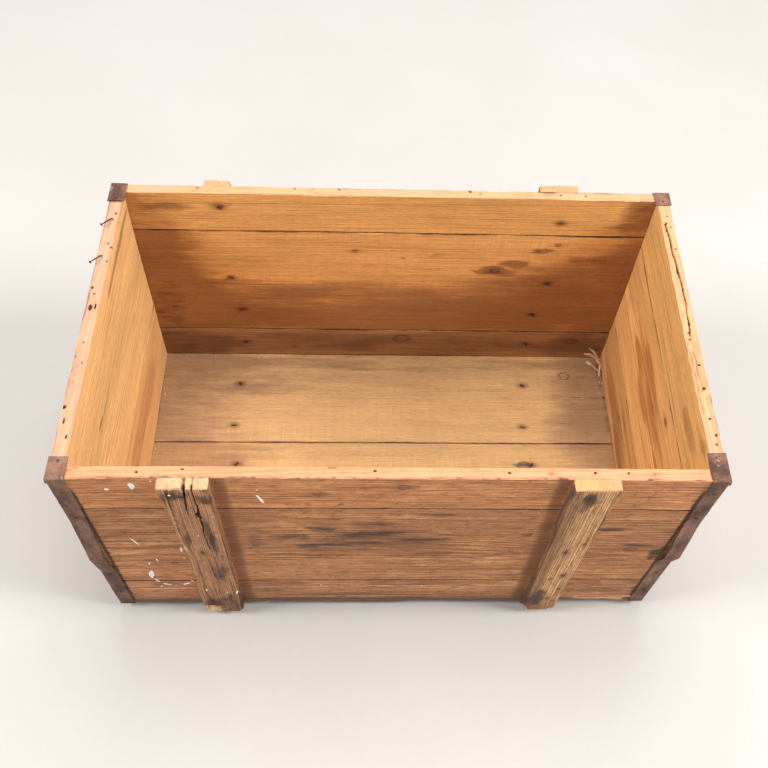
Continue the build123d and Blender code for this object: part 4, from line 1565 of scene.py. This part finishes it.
class Shader:
    """A material's node tree, with short ways to add nodes."""

    def __init__(self, name):
        self.material = bpy.data.materials.new(name)
        self.material.use_nodes = True
        self.tree = self.material.node_tree
        self.tree.nodes.clear()

    def node(self, kind, inputs, **settings):
        """Adds a node. Its inputs are values of other nodes, which are linked, or constants."""
        made = self.tree.nodes.new("ShaderNode" + kind)
        for key, value in settings.items():
            setattr(made, key, value)
        for key, value in inputs.items():
            if isinstance(value, Value):
                self.tree.links.new(value.socket, made.inputs[key])
            else:
                made.inputs[key].default_value = value
        return made

    def value(self, output, kind, inputs, **settings):
        """Adds a node and gives one of its outputs."""
        return Value(self, self.node(kind, inputs, **settings).outputs[output])

    def math(self, operation, *values, clamp=False):
        """Adds a maths node."""
        return self.value(0, "Math", dict(enumerate(values)), operation=operation, use_clamp=clamp)

    def vector(self, operation, *values):
        """Adds a vector maths node."""
        return self.value(0, "VectorMath", dict(enumerate(values)), operation=operation)

    def parts(self, vector):
        """The three parts of a vector."""
        return [Value(self, part) for part in self.node("SeparateXYZ", {0: vector}).outputs]

    def attribute(self, name, output="Fac"):
        """What was painted on the points under this name."""
        return self.value(output, "Attribute", {}, attribute_name=name)

    def position(self):
        """The place of a point on its object, in metres."""
        return self.value("Object", "TexCoord", {})

    def noise(self, at, stretch, detail, roughness=0.5):
        """Noise that repeats about stretch times in a metre, along each axis."""
        scaled = self.vector("MULTIPLY", at, stretch)
        inputs = {"Vector": scaled, "Scale": 1.0, "Detail": detail, "Roughness": roughness}
        return self.value("Fac", "TexNoise", inputs)

    def step(self, value, low, high, to_low=0.0, to_high=1.0):
        """A smooth step from to_low, where the value is low, to to_high."""
        inputs = {"Value": value, "From Min": low, "From Max": high, "To Min": to_low, "To Max": to_high}
        return self.value("Result", "MapRange", inputs, interpolation_type="SMOOTHSTEP")

    def mix(self, share, first, second):
        """The first colour, or the second where the share is 1."""
        return self.value(2, "Mix", {0: share, 6: first, 7: second}, data_type="RGBA", clamp_factor=True)

    def bright(self, tint, factor):
        """A colour made brighter or darker by a factor."""
        tint = tint[:3] if isinstance(tint, tuple) else tint
        return self.value(0, "VectorMath", {0: tint, "Scale": factor}, operation="SCALE")

    def finish(self, base, roughness, height, relief, specular=0.5, metallic=0.0):
        """Makes the surface, with a height from 0 to 1 as its relief in metres."""
        normal = self.value("Normal", "Bump", {"Height": height, "Strength": 1.0, "Distance": relief})
        surface = {"Base Color": base, "Roughness": roughness, "Normal": normal}
        surface.update({"Specular IOR Level": specular, "Metallic": metallic})
        shaded = self.value("BSDF", "BsdfPrincipled", surface)
        self.node("OutputMaterial", {"Surface": shaded}).is_active_output = True
        return self.material


# How old wood looks where WOOD_LOOKS says nothing else. Colours are screen values, in pairs of early and
# late wood or of light and dark. The pith is the tree's middle, across and through the board; ring is the
# width of a year, wander how far the rings stray, relief how deep the grain is. The rest are strengths.
WOOD = {
    "inside": ((214, 154, 94), (160, 98, 48)),
    "outside": ((158, 110, 70), (92, 58, 36)),
    "worn": (196, 140, 88),
    "fresh": ((232, 180, 132), (200, 142, 98)),
    "dark": (112, 66, 34),
    "grime": (62, 48, 42),
    "pith": (0.02, 0.09),
    "ring": 3.4 * MM,
    "wander": 9 * MM,
    "contrast": 0.75,
    "streak": 0.75,
    "tone": 0.7,
    "lines": 0.55,
    "heart": 0.45,
    "flecks": 0.85,
    "stripes": 0.7,
    "relief": 0.4 * MM,
}


def wood_material(name, place, **changes):
    """Old softwood as a solid pattern: year rings, fibres, knots, stains, dirt, painted shade and pale
    fresh wood.
    """
    look = {**WOOD, **changes}
    early_in, late_in = (colour(*tone) for tone in look["inside"])
    early_out, late_out = (colour(*tone) for tone in look["outside"])
    pale_light, pale_dark = (colour(*tone) for tone in look["fresh"])
    worn_tone, dark_tone, grime_and_shade_tone = (colour(*look[key]) for key in ("worn", "dark", "grime"))
    s = Shader(name)
    grain = s.attribute("grain", "Vector")
    moved = s.vector("ADD", grain, (place, place * 0.37, place * 0.71))
    a, b, c = s.parts(grain)
    knot_a, knot_b, knot_size = s.parts(s.attribute("knot", "Vector"))
    stain_a, stain_b, stain_size = s.parts(s.attribute("stain", "Vector"))
    outer, fresh, grime, dark = (s.attribute(field) for field in ("outer", "fresh", "grime", "dark"))

    def spread_out(value, factor):
        """A noise value around 0 instead of around a half, times a factor."""
        return (value - 0.5) * factor

    def spot_distance(da, db, size, squeeze):
        """How many sizes a point is from a spot that is longer along the grain."""
        da = da * squeeze
        return s.math("SQRT", da * da + db * db) / size

    # Year rings, pushed apart round each knot
    around = spot_distance(knot_a, knot_b, knot_size, 0.42)
    pinch = s.math("EXPONENT", around * around * -0.22) * 0.78
    b_bent = b - knot_b * pinch
    slow = s.noise(moved, (1.7, 7.0, 7.0), 2.0)
    quick = s.noise(moved, (8.0, 60.0, 60.0), 2.0)
    pith_b, pith_c = look["pith"]
    from_b = b_bent - pith_b
    from_c = c - pith_c
    radius = s.math("SQRT", from_b * from_b + from_c * from_c)
    radius += spread_out(slow, look["wander"] * 2)
    radius += spread_out(quick, 2.0 * MM)
    radius += a * 0.012
    rings = radius / look["ring"]
    uneven = s.value(
        "Fac", "TexNoise", {"W": rings * 0.31, "Scale": 1.0, "Detail": 1.0}, noise_dimensions="1D",
    )
    rings += uneven * 1.6
    phase = s.math("FRACT", rings)
    late = s.step(phase, 0.3, 0.88) * s.step(phase, 0.91, 0.99, 1.0, 0.0)
    fibre = s.noise(moved, (40.0, 1300.0, 1300.0), 2.0, 0.6)
    streak = s.noise(moved, (7.0, 260.0, 260.0), 4.0, 0.65)
    tone = s.noise(moved, (2.4, 16.0, 16.0), 3.0, 0.6)
    blotch = s.noise(moved, (14.0, 38.0, 38.0), 5.0, 0.68)
    speck = s.noise(moved, (140.0, 520.0, 520.0), 3.0, 0.7)
    smear = s.noise(moved, (11.0, 75.0, 75.0), 6.0, 0.72)
    vein = s.noise(moved, (4.5, 330.0, 330.0), 3.0, 0.55)
    flecks = s.noise(moved, (75.0, 400.0, 400.0), 4.0, 0.78)
    ribs = s.noise(moved, (330.0, 9.0, 9.0), 2.0, 0.5)

    late_share = s.math("MULTIPLY", late, look["contrast"] + spread_out(tone, 1.0), clamp=True)
    inside = s.mix(late_share, early_in, late_in)
    patchy = blotch * 0.7 + streak * 0.5
    outside = s.mix(s.step(patchy, 0.55, 0.78), early_out, worn_tone)
    outside = s.mix(late_share * look["stripes"], outside, late_out)
    wood = s.mix(outer, inside, outside)
    shade = 1.0 + spread_out(streak, look["streak"])
    shade += spread_out(flecks, look["flecks"])
    shade += spread_out(blotch, 0.35)
    shade += spread_out(smear, 1.0) * (outer * 0.9)
    shade += spread_out(tone, look["tone"])
    shade += spread_out(fibre, 0.5)
    # The saw has left faint ribs across the grain, in patches of the inside
    sawn = s.step(tone, 0.45, 0.7) * (1.0 - outer)
    sawn *= spread_out(ribs, 0.36)
    shade += sawn
    wood = s.bright(wood, shade)

    # Scuffs and rubbed-in dirt that cross the grain on the outside
    scuffs = s.noise(moved, (46.0, 120.0, 120.0), 6.0, 0.74)
    scuff_share = s.step(scuffs, 0.51, 0.63) * (outer * 0.5)
    wood = s.mix(scuff_share, wood, s.bright(dark_tone, 0.85))

    # Scratches in two slanting ways, some filled with dirt and some pale
    marked = 0.22 + outer * 0.6
    for slant, tint in ((0.7, dark_tone), (-1.4, pale_light)):
        across_way = b - a * slant
        along_way = a + b * slant
        slanted = s.value(0, "CombineXYZ", {0: along_way, 1: across_way, 2: c})
        scratches = s.noise(slanted, (24.0, 230.0, 160.0), 2.0, 0.6)
        wood = s.mix(s.step(scratches, 0.66, 0.74) * marked, wood, tint)

    # Thin dark lines of dirt in the open grain
    open_grain = vein + outer * 0.03
    lines = s.step(open_grain, 0.575, 0.68) * (look["lines"] + outer * 0.15)
    wood = s.mix(lines, wood, s.bright(dark_tone, shade))

    # Brown stains and painted shade, ragged along the grain
    dark_edge = dark + spread_out(blotch, 0.7)
    dark_edge += spread_out(smear, 1.2)
    dark_share = s.step(dark_edge, 0.1, 1.05) * s.step(dark, 0.0, 0.45)
    wood = s.mix(dark_share * 0.8, wood, s.bright(dark_tone, shade))

    # Knots: a dark rim, a ringed brown heart and a shadow on the grain around
    crumbled = s.noise(moved, (150.0, 150.0, 150.0), 2.0)
    core = spot_distance(knot_a, knot_b, knot_size, 0.75) + spread_out(crumbled, 0.5)
    heart = s.step(core, 0.75, 1.0, 1.0, 0.0)
    edge = s.step(core, 0.6, 0.95) * s.step(core, 1.0, 1.35, 1.0, 0.0)
    knot_rings = s.math("FRACT", core * 3.3)
    heart_tone = s.mix(knot_rings, colour(150, 92, 50), colour(88, 50, 30))
    wood = s.mix(s.step(around, 0.8, 2.6, 1.0, 0.0) * (look["heart"] * 0.5), wood, dark_tone)
    wood = s.mix(heart * look["heart"], wood, heart_tone)
    rim_break = s.step(speck, 0.35, 0.6)
    wood = s.mix(edge * rim_break * 0.85, wood, colour(62, 36, 24))

    # Pale broken or rubbed wood
    fresh_edge = fresh + spread_out(blotch, 0.6)
    fresh_edge += spread_out(speck, 0.5)
    fresh_share = s.step(fresh_edge, 0.3, 0.62)
    pale_mix = late * 0.4 + spread_out(patchy, 2.2)
    pale = s.mix(s.math("ADD", pale_mix, 0.1, clamp=True), pale_light, pale_dark)
    pale = s.mix(s.step(tone, 0.48, 0.68) * 0.55, pale, colour(214, 158, 128))
    pale = s.bright(pale, 0.55 + (fibre * 0.35 + flecks * 0.42))
    wood = s.mix(fresh_share, wood, pale)

    # Grey-black dirt and painted shade, and the iron stains round the nails
    dirt_and_shade_edge = grime + spread_out(smear, 2.0)
    dirt_and_shade_edge += spread_out(blotch, 0.6)
    dirt_and_shade_edge += spread_out(speck, 0.7)
    dirt = s.step(dirt_and_shade_edge, 0.2, 1.15) * s.step(grime, 0.0, 0.2)
    wood = s.mix(dirt * 0.9, wood, grime_and_shade_tone)
    around_nail = spot_distance(stain_a, stain_b, stain_size, 0.6) + spread_out(speck, 1.2)
    around_nail += spread_out(smear, 2.6)
    halo = s.step(around_nail, 0.3, 3.0, 1.0, 0.0) * 0.6
    wood = s.mix(halo, wood, colour(70, 42, 38))
    pit = s.step(around_nail, 0.2, 0.7, 1.0, 0.0) * 0.8
    wood = s.mix(pit, wood, colour(34, 24, 22))

    height = late * 0.5 + fibre * 0.55
    height += streak * 0.6
    height += speck * 0.3
    height -= edge * 0.5
    height -= lines * 0.6
    roughness = 0.55 + streak * 0.2
    roughness += dirt * 0.12
    return s.finish(wood, roughness, height, look["relief"], specular=0.32)


def rust_material(name, dark_tone, light_tone, rust_tone, rust_from=0.55):
    """Old rusty iron: blotched brown, orange bloom in places, pitted."""
    s = Shader(name)
    at = s.position()
    broad = s.noise(at, (28.0, 28.0, 16.0), 4.0, 0.62)
    fine = s.noise(at, (240.0, 240.0, 160.0), 4.0, 0.7)
    bloom = s.noise(at, (110.0, 110.0, 70.0), 5.0, 0.75)
    pits = s.value("Distance", "TexVoronoi", {"Vector": at, "Scale": 520.0})
    scratch = s.noise(at, (90.0, 90.0, 9.0), 3.0, 0.6)
    base = s.mix(s.step(broad, 0.32, 0.7), dark_tone, light_tone)
    base = s.bright(base, 0.5 + fine * 1.0)
    base = s.mix(s.step(bloom, rust_from, rust_from + 0.16) * 0.75, base, rust_tone)
    base = s.mix(s.step(scratch, 0.62, 0.74) * 0.6, base, colour(186, 158, 140))
    spots = s.noise(at, (420.0, 420.0, 300.0), 3.0, 0.7)
    base = s.mix(s.step(spots, 0.56, 0.66) * 0.55, base, colour(52, 34, 30))
    height = fine * 0.7 + s.step(pits, 0.0, 0.5) * 0.35
    height += broad * 0.5
    roughness = 0.5 + fine * 0.35
    return s.finish(base, roughness, height, 0.5 * MM, specular=0.4, metallic=0.25)


def paint_material():
    """Dried off-white paint, slightly soiled."""
    s = Shader("dried_paint")
    at = s.position()
    dirt = s.noise(at, (160.0, 160.0, 160.0), 4.0, 0.6)
    wrinkle = s.noise(at, (500.0, 500.0, 500.0), 2.0)
    base = s.mix(s.step(dirt, 0.4, 0.75), colour(255, 252, 244), colour(236, 222, 200))
    roughness = 0.38 + dirt * 0.25
    return s.finish(base, roughness, wrinkle, 0.15 * MM)


def straw_material():
    """Dry, dusty packing straw."""
    s = Shader("dry_straw")
    at = s.position()
    streak = s.noise(at, (300.0, 300.0, 300.0), 3.0, 0.6)
    patch = s.noise(at, (60.0, 60.0, 60.0), 3.0, 0.6)
    base = s.mix(s.step(patch, 0.35, 0.7), colour(244, 218, 176), colour(186, 148, 106))
    base = s.bright(base, 0.75 + streak * 0.5)
    roughness = 0.6 + streak * 0.2
    return s.finish(base, roughness, streak, 0.3 * MM)


def ground_material():
    """A pale, plain studio floor with the faintest mottling."""
    s = Shader("studio_floor")
    at = s.position()
    cloud = s.noise(at, (2.6, 2.6, 2.6), 4.0, 0.55)
    grain = s.noise(at, (90.0, 90.0, 90.0), 4.0, 0.65)
    base = s.mix(cloud, colour(186, 182, 177), colour(196, 193, 189))
    base = s.bright(base, 0.97 + grain * 0.06)
    roughness = 0.62 + grain * 0.15
    return s.finish(base, roughness, grain, 0.2 * MM, specular=0.3)


# ---------------------------------------------------------------- stage
def camera_and_light():
    """The camera looks down from in front of the crate. Three soft lamps and the sky light it."""
    data = bpy.data.cameras.new("camera")
    data.sensor_width = 36
    data.lens = 44.58
    data.shift_x = -0.0273
    camera = bpy.data.objects.new("camera", data)
    bpy.context.scene.collection.objects.link(camera)
    tilt, roll, turn = (math.radians(angle) for angle in (32.50, -2.78, 0.69))
    camera.rotation_mode = "YXZ"
    camera.rotation_euler = Euler((tilt, roll, turn), "YXZ")
    camera.location = (-0.0400, -0.8275, 1.6015)
    bpy.context.scene.camera = camera

    warm_white = (1.0, 0.99, 0.975)

    def area(name, location, target, size, power):
        """A round lamp that shines at a target."""
        lamp = bpy.data.lights.new(name, "AREA")
        lamp.shape = "DISK"
        lamp.size = size
        lamp.energy = power
        lamp.color = warm_white
        lamp_object = bpy.data.objects.new(name, lamp)
        lamp_object.location = location
        way = Vector(target) - Vector(location)
        lamp_object.rotation_euler = way.to_track_quat("-Z", "Y").to_euler()
        bpy.context.scene.collection.objects.link(lamp_object)

    area("key_right", (3.6, -0.7, 3.4), (0, 0, 0.2), 1.5, 200)
    area("key_left", (-3.6, -0.7, 3.6), (0, 0, 0.2), 1.5, 150)
    area("overhead", (0.1, 1.2, 4.2), (0, 0.2, 0), 2.2, 92)
    world = bpy.data.worlds.new("studio")
    world.use_nodes = True
    background = world.node_tree.nodes["Background"]
    background.inputs["Color"].default_value = (1.0, 0.99, 0.98, 1)
    background.inputs["Strength"].default_value = 0.55
    bpy.context.scene.world = world
    bpy.context.scene.view_settings.view_transform = "Standard"


def ground():
    """A large plain floor that the crate stands on."""
    mesh = bpy.data.meshes.new("studio_floor")
    half = 12.0
    corners = [(-half, -half, 0), (half, -half, 0), (half, half, 0), (-half, half, 0)]
    mesh.from_pydata(corners, [], [(0, 1, 2, 3)])
    mesh.materials.append(ground_material())
    obj = bpy.data.objects.new("studio_floor", mesh)
    bpy.context.scene.collection.objects.link(obj)


# ---------------------------------------------------------------- putting it together
camera_and_light()
ground()

# How each wooden node differs from WOOD, with colours as screen values
WOOD_LOOKS = {
    "front_board_top": dict(
        outside=((214, 144, 90), (132, 80, 46)), worn=(236, 168, 106),
        fresh=((232, 166, 122), (206, 138, 94)), pith=(0.16, 0.05), ring=3.6 * MM,
    ),
    "front_board_middle": dict(
        outside=((200, 134, 86), (118, 72, 44)), worn=(226, 162, 106), pith=(-0.02, 0.07),
        ring=3.2 * MM, wander=14 * MM,
    ),
    "front_board_bottom": dict(
        outside=((198, 134, 90), (116, 74, 48)), worn=(220, 160, 112), pith=(0.03, 0.05),
    ),
    "back_board_top": dict(
        inside=((236, 178, 106), (196, 134, 72)), dark=(126, 78, 44), pith=(0.15, -0.06), ring=3.0 * MM,
        wander=5 * MM, contrast=0.55, lines=0.35,
    ),
    "back_board_middle": dict(
        inside=((236, 178, 108), (194, 132, 74)), dark=(134, 86, 50), pith=(0.2, -0.06), ring=2.6 * MM,
        contrast=0.55, lines=0.35,
    ),
    "back_board_bottom": dict(
        inside=((184, 138, 96), (140, 98, 66)), dark=(114, 82, 60), pith=(-0.1, -0.05),
    ),
    "left_end_board_top": dict(
        inside=((232, 186, 124), (198, 138, 80)), fresh=((213, 173, 139), (184, 138, 106)),
        dark=(140, 98, 64), pith=(-0.03, 0.09), wander=16 * MM, lines=0.3, contrast=0.55,
    ),
    "left_end_board_bottom": dict(
        inside=((228, 178, 116), (190, 128, 74)), dark=(190, 130, 84), pith=(0.1, 0.05),
    ),
    "right_end_board_top": dict(
        inside=((232, 182, 112), (190, 132, 72)), dark=(132, 84, 44), pith=(0.12, -0.04),
    ),
    "right_end_board_middle": dict(
        inside=((236, 184, 116), (192, 132, 72)), dark=(172, 104, 52), pith=(0.0, -0.06),
        wander=16 * MM,
    ),
    "right_end_board_bottom": dict(
        inside=((218, 168, 106), (174, 118, 66)), dark=(140, 90, 50), pith=(-0.09, -0.05),
    ),
    "floor_board_front": dict(
        inside=((204, 168, 120), (174, 134, 92)), dark=(150, 112, 82), grime=(104, 84, 70),
        pith=(0.1, -0.05), ring=2.2 * MM, contrast=0.5, lines=0.12, streak=0.5,
    ),
    "floor_board_middle": dict(
        inside=((212, 172, 118), (182, 138, 88)), dark=(150, 112, 80), grime=(104, 84, 70),
        pith=(-0.22, -0.05), ring=2.0 * MM, contrast=0.5, lines=0.12, streak=0.5,
    ),
    "floor_board_back": dict(
        inside=((216, 176, 124), (184, 140, 92)), dark=(140, 106, 80), grime=(100, 80, 68),
        pith=(0.28, -0.08), wander=7 * MM, ring=2.0 * MM, contrast=0.5, lines=0.12, streak=0.5,
        heart=0.12,
    ),
    "front_batten_left": dict(
        outside=((200, 141, 96), (100, 64, 43)), worn=(220, 164, 112), dark=(112, 72, 50),
        grime=(66, 46, 38), pith=(0.06, 0.03), ring=2.0 * MM, relief=1.0 * MM, contrast=0.8,
        wander=12 * MM, flecks=1.2, fresh=((240, 206, 160), (206, 160, 116)),
    ),
    "front_batten_right": dict(
        outside=((230, 175, 118), (140, 88, 58)), worn=(236, 188, 128), dark=(116, 74, 50),
        grime=(78, 58, 50), pith=(0.08, 0.02), ring=3.4 * MM, relief=0.7 * MM, contrast=0.9,
        stripes=0.9, wander=5 * MM, flecks=1.3, heart=0.15, fresh=((226, 182, 126), (192, 142, 92)),
    ),
    "back_batten_left": dict(
        outside=((158, 116, 82), (84, 58, 42)), pith=(0.07, -0.03), ring=2.4 * MM, relief=0.8 * MM,
        contrast=0.9,
    ),
    "back_batten_right": dict(
        outside=((162, 120, 84), (88, 60, 44)), pith=(-0.07, -0.02), ring=2.6 * MM, relief=0.8 * MM,
        contrast=0.9,
    ),
    "skid_left": dict(outside=((140, 104, 76), (90, 64, 46)), pith=(0.05, 0.04), relief=0.7 * MM),
    "skid_right": dict(outside=((136, 102, 74), (88, 62, 46)), pith=(-0.05, 0.04), relief=0.7 * MM),
}
materials = {}
for n, (node, look) in enumerate(WOOD_LOOKS.items()):
    name = node.replace("_board", "").replace("_end", "") + "_wood"
    materials[node] = wood_material(name, n + 1.0, **look)
iron = rust_material(
    "rusty_sheet_iron", colour(84, 57, 47), colour(148, 109, 90), colour(156, 103, 76), 0.54,
)
nail_steel = rust_material("rusty_nail_steel", colour(58, 42, 36), colour(104, 76, 62), colour(126, 72, 46))
paint = paint_material()

wood_pieces = {**front_boards(), **back_boards(), **left_boards(), **right_boards(), **floor_boards()}
for shape in (front_batten_left, front_batten_right, back_batten_left, back_batten_right):
    wood_pieces[shape.__name__] = shape()
for node in ("skid_left", "skid_right"):
    wood_pieces[node] = skid_piece(node)


# Nails come first, because their tips and heads stain the wood around them. Each row of clinched nails:
# the way its heads look, its first seed, the boards that its tips come out of, and the axis across them
CLINCHED = {
    "front_batten_left": ((0, -1, 0), 0, "front", Z),
    "front_batten_right": ((0, -1, 0), 0, "front", Z),
    "back_batten_left": ((0, 1, 0), 0, "back", Z),
    "back_batten_right": ((0, 1, 0), 0, "back", Z),
    "skid_left": ((0, 0, -1), 9, "floor", Y),
    "skid_right": ((0, 0, -1), 9, "floor", Y),
}
STAIN_SIZE = 3.6 * MM
tip_stains = {"front": [], "back": [], "floor": []}
for node, (axis, first_seed, group, across) in CLINCHED.items():
    made = []
    for n, points in enumerate(islands(node + "_nails")):
        piece, exit_point, head, tip_way = clinched_nail(points, np.array(axis, float), n + first_seed)
        middle = exit_point + tip_way * 4 * MM
        tip_stains[group].append((middle[X], middle[across], STAIN_SIZE))
        wood_pieces[node].stains.append((head[across], head[X], STAIN_SIZE))
        made.append(piece)
    make_object(node + "_nails_rusty", join_pieces(made), nail_steel, [node + "_nails"])
for group, stains in tip_stains.items():
    for node in GROUPS[group][0]:
        wood_pieces[node].stains = stains

for node, piece in wood_pieces.items():
    make_object(node + "_worn", piece, materials[node], [node], wood=True)

for node, axis in (
    ("front_wall_nails", (0, -1, 0)), ("back_wall_nails", (0, 1, 0)), ("floor_nails", (0, 0, -1)),
):
    made = [flat_nail(points, np.array(axis, float), n) for n, points in enumerate(islands(node))]
    make_object(node + "_rusty", join_pieces(made), nail_steel, [node])

for node in IRONS:
    angle, cap = iron_angle(node), iron_cap(node)
    make_object(node + "_sheet", join_pieces([angle, cap]), iron, [node], sharp_angle=50)
    side_x, side_y = IRONS[node][:2]
    made = []
    for n, points in enumerate(islands(node + "_nails")):
        size = points.max(0) - points.min(0)
        axis = np.zeros(3)
        longest = int(size.argmax())
        axis[longest] = {X: side_x, Y: side_y, Z: 1}[longest]
        made.append(domed_nail(points, axis, n))
    make_object(node + "_nails_rusty", join_pieces(made), nail_steel, [node + "_nails"])

made = [lid_nail(points, n) for n, points in enumerate(islands("bent_lid_nails"))]
make_object("bent_lid_nails_rusty", join_pieces(made), nail_steel, ["bent_lid_nails"])
make_object("paint_splashes", paint_marks(), paint)
straw_look = straw_material()
make_object("straw_wisps", straw(), straw_look, sharp_angle=70)
make_object("floor_crumbs", crumbs(), straw_look)
